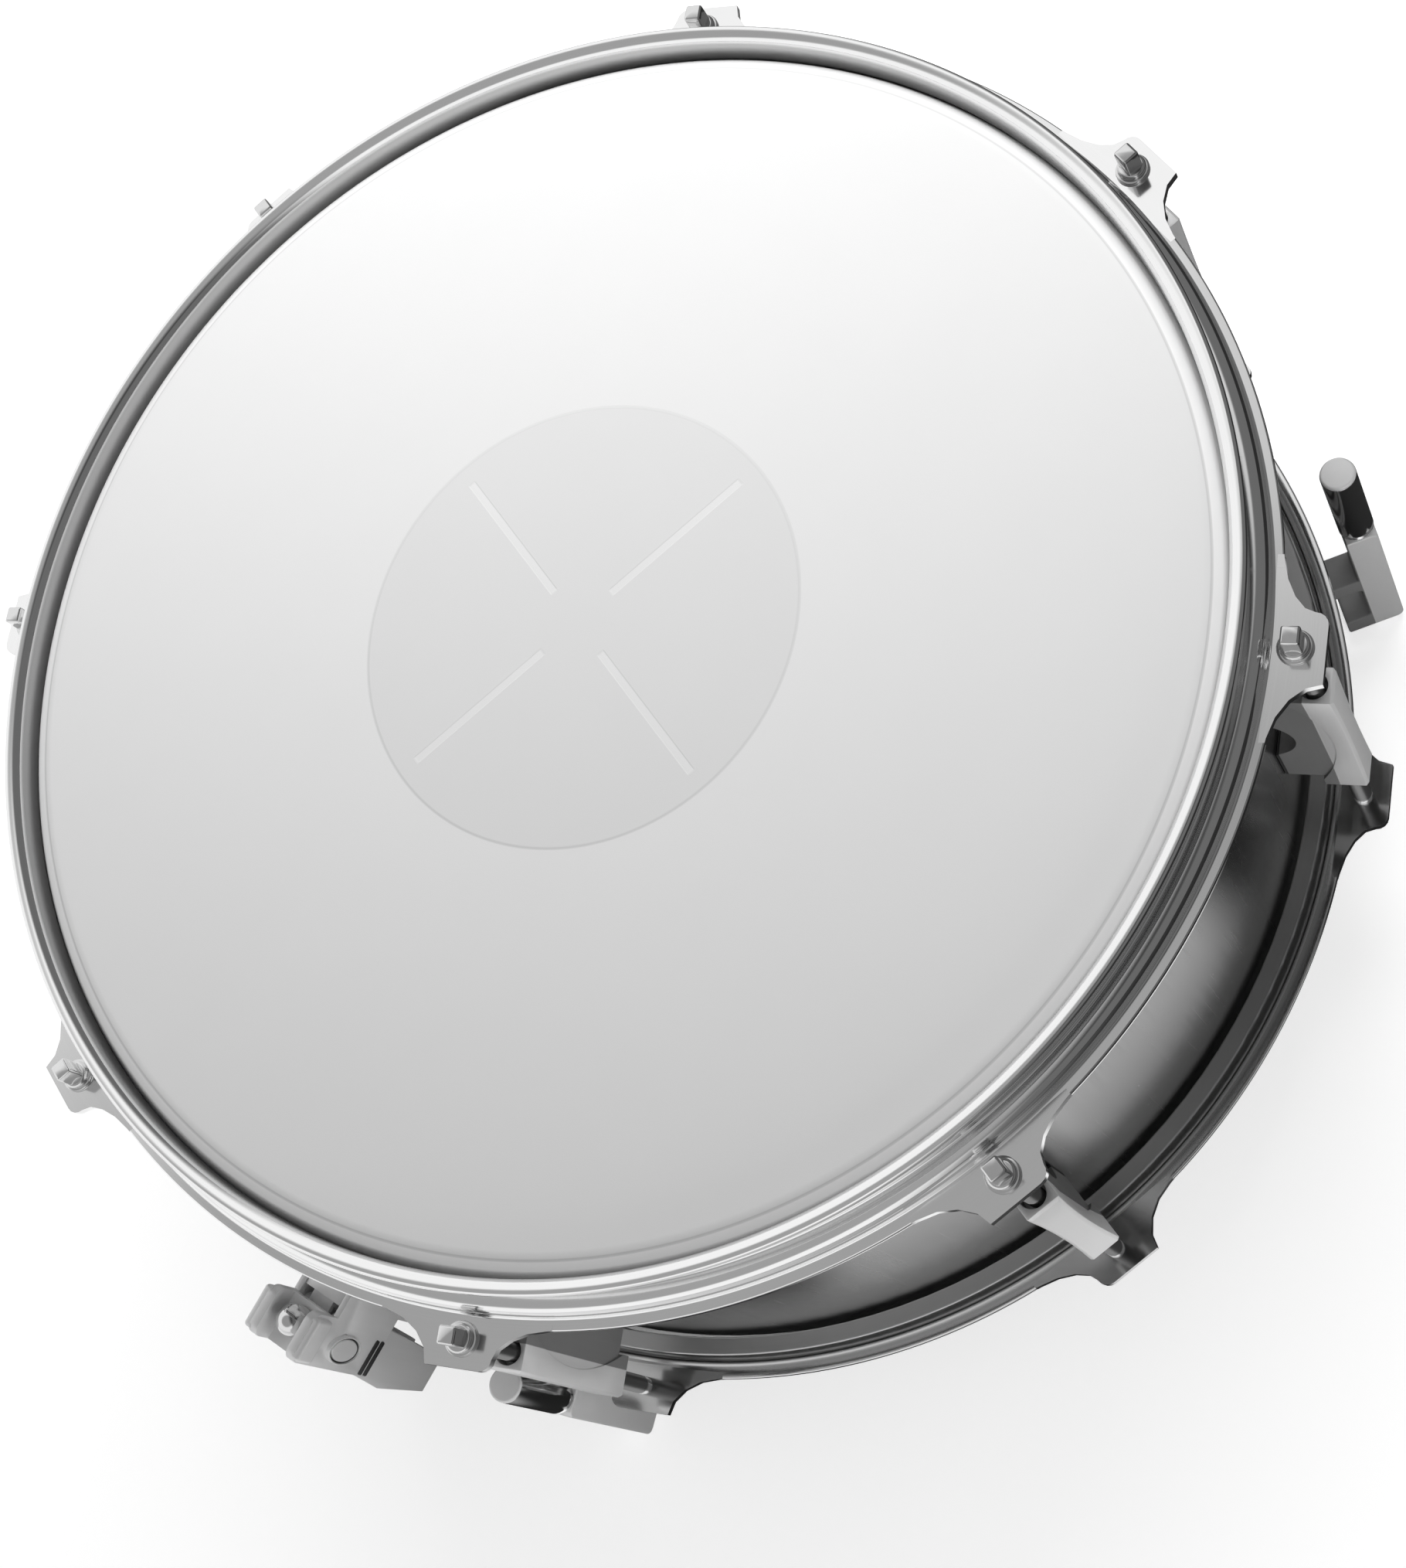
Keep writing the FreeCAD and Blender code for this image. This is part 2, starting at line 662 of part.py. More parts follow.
def build_lug(index, angle):
    body = new_body(f"lug_{index}", angle)
    bow = "(lug_half ^ 2 + lug_waist ^ 2) / (2 * lug_waist)"
    front = new_sketch(body, "front", "YZ_Plane", [[
        ("-lug_end_half", "-lug_half"), ("lug_end_half", "-lug_half", "arc", f"-({bow})"),
        ("lug_end_half", "lug_half"), ("-lug_end_half", "lug_half", "arc", f"-({bow})")]], (), "lug_in")
    bar = extrude(body, "Pad", front, "lug_out - lug_in")
    doc.recompute()
    outer = size("lug_out")
    edges = [f"Edge{i}" for i, edge in enumerate(bar.Shape.Edges, 1)
             if abs(edge.CenterOfMass.x - outer) < NEAR]
    break_edge = body.newObject("PartDesign::Chamfer", f"lug_{index}_edge")
    break_edge.Base = (bar, edges)
    bind(break_edge, "Size", "lug_edge")
    body.Tip = break_edge
    hollow = "(lug_bow_half ^ 2 + lug_bow ^ 2) / (2 * lug_bow)"
    under = new_sketch(body, "under", "XZ_Plane", [[
        ("lug_in", "lug_bow_half", "arc", f"-({hollow})"), ("lug_in", "-lug_bow_half"),
        ("foot_in", "-lug_bow_half"), ("foot_in", "lug_bow_half")]])
    extrude(body, "Pocket", under, both=True)
    arch = "(lug_arch_half ^ 2 + lug_arch_rise ^ 2) / (2 * lug_arch_rise)"
    feet = new_sketch(body, "feet", "XZ_Plane", [[
        ("foot_in", "lug_foot_end"), ("foot_in", "lug_arch_half", "arc", f"-({arch})"),
        ("foot_in", "-lug_arch_half"), ("foot_in", "-lug_foot_end"),
        ("lug_in + lug_bow + lug_edge", "-lug_foot_end"), ("lug_in + lug_bow + lug_edge", "lug_foot_end")]])
    extrude(body, "Pad", feet, "2 * lug_foot_half", both=True)
    bore = new_sketch(body, "bore", "XY_Plane", (), [
        ("rod_circle", "0", "nut_radius + run_gap")], "lug_half")
    mirror(body, [extrude(body, "Pocket", bore, "bore_depth")], "XY_Plane")
    taps = new_sketch(body, "taps", "YZ_Plane", (), [
        ("0", "lug_screw_at", "screw_radius + run_gap"), ("0", "-lug_screw_at", "screw_radius + run_gap")],
        "foot_in")
    extrude(body, "Pocket", taps, "screw_bite + gasket_thick", back=True)


def build_lug_fixings():
    gaskets, screws, pads, nuts = [], [], [], []
    for angle in LUG_ANGLES:
        for flip in (False, True):
            at = ("pad_in", "0", "lug_screw_at")
            gasket = block("gasket_in", "foot_in", "lug_foot_half", "lug_arch_half + lug_edge",
                           "lug_foot_end", angle, flip)
            hole = rod("screw_radius + run_gap", "2 * lug_cover", angle, at, flip, AIM_OUT)
            gaskets.append(cut(gasket, hole))
            screws.append(shell_screw(angle, flip, "lug_screw_at", "foot_in + screw_bite"))
            pad = rod("pad_radius", "pad_thick", angle, at, flip, AIM_OUT)
            eye = rod("screw_radius + run_gap", "pad_thick", angle, at, flip, AIM_OUT)
            pads.append(cut(pad, eye))
            end = ("rod_circle", "0", "lug_half - nut_setback - nut_length")
            nut = rod("nut_radius", "nut_length", angle, end, flip)
            thread = rod("rod_radius + run_gap", "nut_length", angle, end, flip)
            nuts.append(cut(nut, thread))
    for angle, height in BRACKET_HOLES:
        at = ("pad_in", "0", height)
        screws.append(shell_screw(angle, False, height, "base_in + mount_bite"))
        pad = rod("pad_radius", "pad_thick", angle, at, False, AIM_OUT)
        eye = rod("screw_radius + run_gap", "pad_thick", angle, at, False, AIM_OUT)
        pads.append(cut(pad, eye))
    group("lug_gaskets", gaskets)
    group("shell_screws", screws)
    group("shell_screw_washers", pads)
    group("lug_swivel_nuts", nuts)


def shell_screw(angle, flip, height, reach):
    """Screw from inside the shell, its head on a washer, out to a radius."""
    start = ("pad_in - screw_head_high", "0", height)
    head = rod("screw_head", "screw_head_high", angle, start, flip, AIM_OUT)
    long = f"({reach}) - pad_in + screw_head_high"
    shank = rod("screw_radius", long, angle, start, flip, AIM_OUT)
    return join([head, shank])


def build_rods():
    washers = []
    for side, flip in (("batter", False), ("snare_side", True)):
        for index, angle in enumerate(LUG_ANGLES, 1):
            top = "ear_top + washer_thick"
            shank = rod("rod_radius", "rod_length + collar_height", angle,
                        ("rod_circle", "0", f"{top} - rod_length"), flip)
            collar = rod("collar_radius", "collar_height", angle, ("rod_circle", "0", top), flip)
            half = "key_side / 2"
            key = block(f"rod_circle - {half}", f"rod_circle + {half}", half, f"{top} + collar_height",
                        f"{top} + collar_height + key_height", angle, flip)
            keep(join([shank, collar, key]), f"{side}_rod_{index}")
            ring = rod("washer_radius", "washer_thick", angle, ("rod_circle", "0", "ear_top"), flip)
            eye = rod("rod_radius + run_gap", "washer_thick", angle, ("rod_circle", "0", "ear_top"), flip)
            washers.append(cut(ring, eye))
    group("rod_washers", washers)


def build_strainer_base():
    body = new_body("strainer_base", STRAINER, False, FITTING)
    step = "shell_radius + cheek_step"
    face = "shell_radius + cheek_out"
    roll = "shell_radius + roll_in"
    side = new_sketch(body, "side", "XZ_Plane", [[
        ("base_in", "-base_low"), (step, "-base_low"), (step, "-cheek_low"), (face, "-cheek_low"),
        (face, "roll_high", "round", "roll_round"), (roll, "roll_high", "round", "roll_round"),
        (roll, "base_high"), ("base_in", "base_high")]])
    extrude(body, "Pad", side, "2 * base_half", both=True)
    channel = new_sketch(body, "channel", "XZ_Plane", [
        box("plate_out", f"{face} + cheek_wall", "-base_low - cheek_wall", "roll_low")])
    extrude(body, "Pocket", channel, "2 * (cheek_in - rail_high)", both=True)
    rail = "plate_out + rail_in"
    relief = new_sketch(body, "relief", "XZ_Plane", [
        box("plate_out", rail, "-base_low - cheek_wall", "roll_low"),
        box(f"{rail} + rail_wide", f"{face} + cheek_wall", "-base_low - cheek_wall", "roll_low")])
    extrude(body, "Pocket", relief, "2 * cheek_in", both=True)
    pivot = new_sketch(body, "pivot", "XZ_Plane", (), [
        ("pivot_x", "-pivot_drop", "pivot_radius + run_gap")])
    extrude(body, "Pocket", pivot, both=True)
    fork = new_sketch(body, "fork", "YZ_Plane", [
        box("-fork_half", "fork_half", "fork_floor", "roll_high + cheek_wall")])
    extrude(body, "Pocket", fork, both=True)
    knob = new_sketch(body, "knob", "XY_Plane", (), [("pivot_x", "0", "knob_screw + run_gap")], "fork_floor")
    extrude(body, "Pocket", knob, "fork_floor - roll_low")
    taps = new_sketch(body, "taps", "YZ_Plane", (), [
        ("0", "-mount_screw_low", "screw_radius + run_gap"),
        ("0", "-mount_screw_top", "screw_radius + run_gap")], "base_in")
    extrude(body, "Pocket", taps, "mount_bite + run_gap", back=True)


def build_strainer_lever():
    body = new_body("strainer_lever", STRAINER, False, FITTING)
    tip_in = "shell_radius + lever_tip_in"
    tip_out = "shell_radius + lever_tip_out"
    belly_in = "shell_radius + lever_belly_in"
    belly_out = "shell_radius + lever_belly_out"
    head = "lever_head - pivot_drop"
    curve = f"lever_head * {HEAD_ROUND_SHARE}"
    side = new_sketch(body, "side", "XZ_Plane", [[
        ("pivot_x - lever_head", head, "round", curve),
        ("pivot_x - lever_head", "-pivot_drop - lever_head"),
        (belly_in, "-lever_belly_drop"), (tip_in, "-lever_low"), (tip_out, "-lever_low"),
        (belly_out, "-lever_belly_drop"), ("pivot_x + lever_head", "-pivot_drop - lever_head"),
        ("pivot_x + lever_head", head, "round", curve)]])
    extrude(body, "Pad", side, "2 * lever_half", both=True)
    hollow = new_sketch(body, "hollow", "XZ_Plane", [[
        ("pivot_x - 2 * lever_head", head), ("pivot_x - 2 * lever_head", "-lever_low - lever_web"),
        (f"{tip_out} - lever_web", "-lever_low - lever_web"),
        (f"{belly_out} - lever_web", "-lever_belly_drop"),
        ("pivot_x + lever_head - lever_web", "-pivot_drop - lever_head"),
        ("pivot_x + lever_head - lever_web", head)]])
    extrude(body, "Pocket", hollow, "2 * lever_in", both=True)
    pins = new_sketch(body, "pins", "XZ_Plane", (), [
        ("pivot_x", "-pivot_drop", "pivot_radius + run_gap"),
        ("crank_x", "crank_z", "crank_radius + run_gap")])
    extrude(body, "Pocket", pins, both=True)
    start = ("crank_x", "-lever_half", "fitting_level + crank_z")
    crank = rod("crank_radius", "2 * lever_half", STRAINER, start, False, AIM_SIDE)
    keep(crank, "strainer_crank_pin")


def build_strainer_pivot():
    long = "2 * base_half + 2 * run_gap"
    half = "base_half + run_gap"
    height = "fitting_level - pivot_drop"
    start = ("pivot_x", f"-({half})", height)
    pin = rod("pivot_radius", long, STRAINER, start, False, AIM_SIDE)
    near = rod("pivot_cap", "pivot_cap_high", STRAINER, ("pivot_x", half, height), False, AIM_SIDE)
    end = ("pivot_x", f"-({half}) - pivot_cap_high", height)
    far = rod("pivot_cap", "pivot_cap_high", STRAINER, end, False, AIM_SIDE)
    keep(join([pin, near, far]), "strainer_pivot_pin")


def build_strainer_slide():
    """Carriage that the crank pin drives: guided by two rails, with a forked tongue."""
    body = new_body("strainer_slide", STRAINER, False, FITTING)
    back = "plate_out + slide_gap"
    out = "shell_radius + slide_out"
    face = "strap_x - strap_gap"
    side = new_sketch(body, "side", "XZ_Plane", [[
        (back, "-slide_low"), (face, "-slide_low"), (face, "-slide_step"), (out, "-slide_step"),
        (out, "slide_high"), (back, "slide_high")]])
    extrude(body, "Pad", side, "2 * (cheek_in - slide_gap)", both=True)
    near = "plate_out + rail_in - slide_gap"
    far = "plate_out + rail_in + rail_wide + slide_gap"
    deep = "cheek_in - rail_high - slide_gap"
    cuts = new_sketch(body, "grooves", "XY_Plane", [
        box(near, far, deep, "base_half"), box(near, far, "-base_half", f"-({deep})")])
    extrude(body, "Pocket", cuts, both=True)
    half = "crank_radius + slot_clear"
    tongue = new_sketch(body, "tongue", "XZ_Plane", [
        box(f"{out} - prong", "shell_radius + tongue_out",
            f"crank_z - ({half}) - prong", f"crank_z + {half} + prong")])
    extrude(body, "Pad", tongue, "2 * tongue_half", both=True)
    slot = new_sketch(body, "slot", "XZ_Plane", [
        box(f"{out} + prong", "shell_radius + tongue_out + prong",
            f"crank_z - ({half})", f"crank_z + {half}")])
    extrude(body, "Pocket", slot, "2 * base_half", both=True)
    taps = new_sketch(body, "taps", "YZ_Plane", (), clamp_holes(), face)
    extrude(body, "Pocket", taps, "4 * clamp_screw_radius")


def clamp_holes(level="0"):
    middle = f"{level} - (clamp_low + clamp_high) / 2"
    return [("clamp_screw_at", middle, "clamp_screw_radius + run_gap"),
            ("-clamp_screw_at", middle, "clamp_screw_radius + run_gap")]


def build_knob():
    body = new_body("strainer_knob", STRAINER)
    foot = "fork_floor + knob_gap"
    section = new_sketch(body, "section", "XZ_Plane", [[
        ("0", f"{foot} + knob_high"), ("0", "roll_low + knob_gap"), ("knob_screw", "roll_low + knob_gap"),
        ("knob_screw", foot), ("knob_radius", foot),
        ("knob_radius", f"{foot} + knob_high - knob_radius", "arc", "knob_radius")]])
    revolve(body, section)
    seat(body, STRAINER, False, None, ("pivot_x", "0", "fitting_level"))


def build_strap(side, angle):
    """Flat strap from the clamp down past the flange and in through the gate."""
    body = new_body(side + "_strap", angle)
    inner = "wire_half + plate_long - plate_lap"
    lip = "shell_radius + strap_bend_in"
    bend = "strap_z - strap_bend_drop"
    top = "fitting_level - strap_top"
    profile = new_sketch(body, "profile", "XZ_Plane", [[
        ("strap_x", top), ("strap_x", "-strap_turn"), (lip, f"-({bend}) + strap_thick"),
        ("wire_half + plate_long + plate_lap", "-strap_z"), (inner, "-strap_z"),
        (inner, "-strap_z - strap_thick"), ("wire_half + plate_long + plate_lap", "-strap_z - strap_thick"),
        (f"{lip} + strap_thick", f"-({bend})"), ("strap_x + strap_thick", "-strap_turn"),
        ("strap_x + strap_thick", top)]])
    extrude(body, "Pad", profile, "2 * strap_half", both=True)
    eyes = new_sketch(body, "eyes", "YZ_Plane", (), clamp_holes("fitting_level"), "strap_x - strap_gap")
    extrude(body, "Pocket", eyes, "2 * strap_thick", back=True)
    plate_in = "strap_x + strap_thick + strap_gap"
    clamp = new_body(side + "_clamp", angle, False, FITTING)
    corners = box("-clamp_half", "clamp_half", "-clamp_low", "-clamp_high")
    outline = new_sketch(clamp, "outline", "YZ_Plane", [
        [(x, y, "round", "clamp_screw_radius") for x, y in corners]], clamp_holes(), plate_in)
    extrude(clamp, "Pad", outline, "clamp_thick")
    screws = []
    middle = "fitting_level - (clamp_low + clamp_high) / 2"
    for sign in ("", "-"):
        at = (f"{plate_in} + clamp_thick", f"{sign}clamp_screw_at", middle)
        start = ("strap_x - strap_gap - 3 * clamp_screw_radius", f"{sign}clamp_screw_at", middle)
        head = rod("clamp_screw_head", "clamp_screw_high", angle, at, False, AIM_OUT)
        long = f"{plate_in} + clamp_thick + clamp_screw_high - ({start[0]})"
        screws.append(join([head, rod("clamp_screw_radius", long, angle, start, False, AIM_OUT)]))
    group(side + "_clamp_screws", screws)


def build_butt():
    body = new_body("butt_block", BUTT, False, FITTING)
    side = new_sketch(body, "side", "XZ_Plane", [
        box("base_in", "strap_x - strap_gap", "-butt_low", "-butt_high")])
    extrude(body, "Pad", side, "2 * butt_half", both=True)
    taps = new_sketch(body, "taps", "YZ_Plane", (), [
        ("0", "-mount_screw_low", "screw_radius + run_gap"),
        ("0", "-mount_screw_high", "screw_radius + run_gap")], "base_in")
    extrude(body, "Pocket", taps, "mount_bite + run_gap", back=True)
    holes = new_sketch(body, "holes", "YZ_Plane", (), clamp_holes(), "strap_x - strap_gap")
    extrude(body, "Pocket", holes, "4 * clamp_screw_radius")


def build_snares():
    count = int(SIZES["wire_count"])
    wires = []
    for k in range(count):
        offset = f"wire_pitch * {k - (count - 1) / 2:.1f}"
        start = ("-wire_half", offset, "-wire_z")
        wires.append(rod("wire_radius", "2 * wire_half", 0.0, start, False, AIM_OUT))
    group("snare_wires", wires)
    group("snare_end_plates", [
        block("wire_half - plate_lap", "wire_half + plate_long", "plate_half", "-plate_z - plate_thick",
              "-plate_z", angle) for angle in (STRAINER, BUTT)])


def build_feet():
    """L-shaped cradle feet that hold the snare-side hoop, each with a post and a sleeve."""
    inner = "flange_out + foot_clear"
    outer = "shell_radius + foot_out"
    jaw = "wall_in - jaw_in"
    sleeves = []
    for index, angle in enumerate(FOOT_ANGLES, 1):
        body = new_body(f"foot_{index}", angle)
        side = new_sketch(body, "side", "XZ_Plane", [[
            (inner, "-foot_top"), (inner, "-lip_top"), (jaw, "-lip_top"), (jaw, "-lip_top - jaw_thick"),
            (inner, "-lip_top - jaw_thick"), (inner, "toe_high - mid_height"),
            (f"{inner} - toe_in", "toe_high - mid_height"), (f"{inner} - toe_in", "-mid_height"),
            (outer, "-mid_height"), (outer, "-foot_top")]])
        extrude(body, "Pad", side, "2 * foot_half", both=True)
        middle = f"({inner} + {outer}) / 2"
        post = new_sketch(body, "post", "XY_Plane", (), [
            (middle, "0", "post_radius")], "-foot_top - post_in")
        extrude(body, "Pad", post, "post_in + foot_top - sleeve_top")
        start = (middle, "0", "-foot_top")
        tube = rod("sleeve_radius", "foot_top - sleeve_top", angle, start)
        hole = rod("post_radius + run_gap", "foot_top - sleeve_top", angle, start)
        sleeves.append(cut(tube, hole))
    group("foot_sleeves", sleeves)


build_shell()
build_vent()
build_head("batter", False)
build_head("snare_side", True)
build_dot()
build_hoop("batter_hoop", False)
build_hoop("snare_side_hoop", True)
for number, lug_angle in enumerate(LUG_ANGLES, 1):
    build_lug(number, lug_angle)
build_lug_fixings()
build_rods()
build_strainer_base()
build_strainer_lever()
build_strainer_pivot()
build_strainer_slide()
build_knob()
build_strap("strainer", STRAINER)
build_strap("butt", BUTT)
build_butt()
build_snares()
build_feet()
doc.recompute()

faults = [o.Name + " " + str(o.State) for o in doc.Objects if "Invalid" in o.State or "Error" in o.State]
for name, item in nodes.items():
    shape = item.Shape
    if shape.isNull() or not shape.isValid():
        faults.append(name + " has no valid shape")
if faults:
    raise RuntimeError("; ".join(faults))

os.makedirs("parts", exist_ok=True)
for name, item in nodes.items():
    item.Shape.exportStep(f"parts/{name}.step")
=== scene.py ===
"""Steel snare drum with a coated reverse-dot batter head, dressed over its CAD frame.

Every mesh is worked in millimetres about the drum axis at mid-depth, with Z towards
the batter head and X along the snare wires, and then set into the row frame in metres.
"""

import json
import logging
import math
from collections.abc import Callable, Iterable, Sequence
from dataclasses import dataclass, field
from enum import Enum
from functools import partial

import bmesh
import bpy
from mathutils import Matrix, Quaternion, Vector

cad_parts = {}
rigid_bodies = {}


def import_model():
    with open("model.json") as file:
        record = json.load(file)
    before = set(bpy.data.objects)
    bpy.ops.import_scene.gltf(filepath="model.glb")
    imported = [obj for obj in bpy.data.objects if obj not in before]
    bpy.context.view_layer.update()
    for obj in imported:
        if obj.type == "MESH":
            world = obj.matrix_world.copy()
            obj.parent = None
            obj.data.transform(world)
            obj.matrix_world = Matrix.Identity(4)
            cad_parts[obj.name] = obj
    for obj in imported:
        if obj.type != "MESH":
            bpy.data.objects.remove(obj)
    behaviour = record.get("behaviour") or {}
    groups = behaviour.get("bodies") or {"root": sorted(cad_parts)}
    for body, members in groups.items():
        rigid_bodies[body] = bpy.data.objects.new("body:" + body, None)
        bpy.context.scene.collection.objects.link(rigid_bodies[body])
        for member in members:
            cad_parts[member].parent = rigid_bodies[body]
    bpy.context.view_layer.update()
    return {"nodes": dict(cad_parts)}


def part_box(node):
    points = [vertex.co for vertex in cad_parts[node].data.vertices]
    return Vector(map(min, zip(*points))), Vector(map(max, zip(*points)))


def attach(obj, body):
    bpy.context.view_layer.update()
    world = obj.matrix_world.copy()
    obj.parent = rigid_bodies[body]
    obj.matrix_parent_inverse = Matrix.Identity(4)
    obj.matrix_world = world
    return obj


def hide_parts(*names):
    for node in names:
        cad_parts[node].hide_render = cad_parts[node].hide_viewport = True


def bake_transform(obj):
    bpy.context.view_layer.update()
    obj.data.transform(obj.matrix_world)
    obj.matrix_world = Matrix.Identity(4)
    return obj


for leftover in list(bpy.data.objects):
    bpy.data.objects.remove(leftover)
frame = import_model()

MM = 0.001
RODS = 8
WELD = 0.0008
CAD_WELD = 0.003
RIM_ANGLE = 0.6
CAD_RIM_ANGLE = math.radians(32.0)
SIDES = (-1, 1)
SIDEWAYS = Matrix(((1, 0, 0, 0), (0, 0, 1, 0), (0, 1, 0, 0), (0, 0, 0, 1)))
LOG = logging.getLogger("snare_drum")
Pair = tuple[float, float]
Triple = tuple[float, float, float]
Range = tuple[float, float, float, float]
Corner = Triple
Colour = Range
ORIGIN: Triple = (0.0, 0.0, 0.0)


class Slot(Enum):
    """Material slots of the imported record."""

    CHROME = "chrome"
    STEEL = "steel"
    BRASS = "brass"
    ALUMINIUM = "aluminium"
    COATED_FILM = "coated_film"
    DOT_FILM = "dot_film"
    CLEAR_FILM = "clear_film"
    RESIN = "resin"
    GASKET = "gasket"
    STRAP = "strap"
    FOOT_METAL = "foot_metal"


class Plane(Enum):
    """The plane that an outline is drawn in."""

    FLAT = "across the drum axis"
    SIDE = "through the drum axis"


class Streak(Enum):
    """Which way the polishing marks of a metal run."""

    NONE = "cast or plated"
    ALONG = "along the drum axis"
    AROUND = "around the drum axis"


def grey(level: float) -> Colour:
    """Return a neutral colour of one level."""
    return (level, level, level, 1.0)


def rectangle(low: Pair, high: Pair, corner: float = 0.0) -> list[Corner]:
    """Return the outline of a rectangle whose corners are rounded alike."""
    (left, down), (right, up) = low, high
    return [(x, y, corner) for x, y in ((left, down), (right, down), (right, up), (left, up))]


def bar(radius: float, start: float, end: float, first: float = 0.0, last: float = 0.0) -> list[Corner]:
    """Return the section of a round bar, with the rounding of its two rims."""
    return [(0.0, start, 0.0), (radius, start, first), (radius, end, last), (0.0, end, 0.0)]


def touching(verts: Iterable, kind: str) -> list:
    """Return each edge or face that meets some vertices, once and in order."""
    return list(dict.fromkeys(item for vert in verts for item in getattr(vert, kind)))


def stand(name: str, data: bpy.types.ID) -> bpy.types.Object:
    """Make an object and link it into the scene."""
    item = bpy.data.objects.new(name, data)
    bpy.context.scene.collection.objects.link(item)
    return item


def operator(operation: str, swapped: bool = False) -> Callable:
    """Make a method of Wire that adds a Math node, with the other value first where swapped."""
    def method(wire: "Wire", *other: "Wire | float") -> "Wire":
        """Add the node and hand back its value."""
        terms = (*other, wire) if swapped else (wire, *other)
        return wire.graph.node("ShaderNodeMath", {"operation": operation}, dict(enumerate(terms)))

    return method


class Wire:
    """A shader socket in Python expressions, where | takes the larger value and & the smaller."""

    __add__, __radd__ = operator("ADD"), operator("ADD", True)
    __sub__, __rsub__ = operator("SUBTRACT"), operator("SUBTRACT", True)
    __mul__, __rmul__ = operator("MULTIPLY"), operator("MULTIPLY", True)
    __truediv__ = operator("DIVIDE")
    __pow__ = operator("POWER")
    __abs__ = operator("ABSOLUTE")
    __or__ = operator("MAXIMUM")
    __and__ = operator("MINIMUM")

    def __init__(self, graph: "Graph", socket: bpy.types.NodeSocket) -> None:
        """Keep the socket and its graph."""
        self.graph = graph
        self.socket = socket


class Graph:
    """The nodes of one material or world."""

    def __init__(self, tree: bpy.types.NodeTree) -> None:
        """Start from an empty tree."""
        self.tree = tree
        tree.nodes.clear()

    def node(self, kind: str, settings: dict | None = None, inputs: dict | None = None,
             output: int | str = 0) -> Wire:
        """Add a node of any kind.

        Args:
            kind: Blender's name of the node type.
            settings: The node's own settings.
            inputs: Values or wires by socket name or number.
            output: Which output to hand back.

        Returns:
            The chosen output.
        """
        made = self.tree.nodes.new(kind)
        for name, value in (settings or {}).items():
            setattr(made, name, value)
        for key, value in (inputs or {}).items():
            if isinstance(value, Wire):
                self.tree.links.new(value.socket, made.inputs[key])
            else:
                made.inputs[key].default_value = value
        return Wire(self, made.outputs[output]) if made.outputs else None

    def place(self, scale: Sequence[float] = (1, 1, 1), centre: Sequence[float] = (0, 0, 0),
              turn: float = 0.0) -> Wire:
        """Read Object coordinates about a centre.

        Args:
            scale: How much finer the pattern is along each axis.
            centre: The pattern's middle in the row frame.
            turn: Turn of the pattern about Z, in degrees.

        Returns:
            The vector of the pattern.
        """
        spot = self.node("ShaderNodeTexCoord", output="Object")
        centred = self.node("ShaderNodeMapping", {"vector_type": "TEXTURE"}, {
            "Vector": spot, "Location": tuple(centre), "Rotation": (0, 0, math.radians(turn))})
        return self.node("ShaderNodeMapping", {}, {"Vector": centred, "Scale": tuple(scale)})

    def noise(self, vector: Wire, scale: float, detail: float = 2.0, rough: float = 0.5) -> Wire:
        """Return a noise value over a vector."""
        return self.node("ShaderNodeTexNoise", {}, {
            "Vector": vector, "Scale": scale, "Detail": detail, "Roughness": rough})

    def ease(self, value: Wire, low: float, high: float, start: float = 0.0, end: float = 1.0) -> Wire:
        """Map a value smoothly from low..high to start..end, and hold it beyond."""
        return self.node("ShaderNodeMapRange", {"interpolation_type": "SMOOTHSTEP"}, {
            "Value": value, "From Min": low, "From Max": high, "To Min": start, "To Max": end})

    def step(self, value: Wire, limit: float, soft: float) -> Wire:
        """Step from 0 to 1 at a limit, or from 1 to 0 where soft is negative."""
        return self.ease(value, limit - soft, limit + soft)

    def mix(self, share: Wire, first: Colour | Wire, second: Colour | Wire) -> Wire:
        """Mix two colours by a share."""
        return self.node("ShaderNodeMix", {"data_type": "RGBA"}, {0: share, 6: first, 7: second}, 2)

    def parts(self, vector: Wire) -> tuple[Wire, Wire, Wire]:
        """Split a vector into its three values."""
        split = self.node("ShaderNodeSeparateXYZ", {}, {"Vector": vector}).socket.node
        return tuple(Wire(self, socket) for socket in split.outputs)

    def about(self, centre: Sequence[float], turn: float = 0.0) -> tuple[Wire, Wire, Wire, Wire]:
        """Return X, Y, Z and the distance from the Z axis, about a centre."""
        x, y, z = self.parts(self.place(centre=centre, turn=turn))
        return x, y, z, (x * x + y * y) ** 0.5

    def ray(self, kind: str) -> Wire:
        """Return whether a kind of ray looks at the surface."""
        return self.node("ShaderNodeLightPath", output=f"Is {kind} Ray")

    def mirrored(self) -> Wire:
        """Return whether a mirror or a clear film looks at the surface."""
        return self.ray("Glossy") | self.ray("Transmission")

    def bump(self, height: Wire, distance: float, strength: float) -> Wire:
        """Turn a height into a normal, with the height's full step in metres."""
        return self.node("ShaderNodeBump", {}, {
            "Height": height, "Distance": distance, "Strength": strength})

    def surface(self, **sockets: object) -> Wire:
        """Add the main shader, with socket names written with underscores."""
        return self.node("ShaderNodeBsdfPrincipled", {}, {
            name.replace("_", " "): value for name, value in sockets.items()})


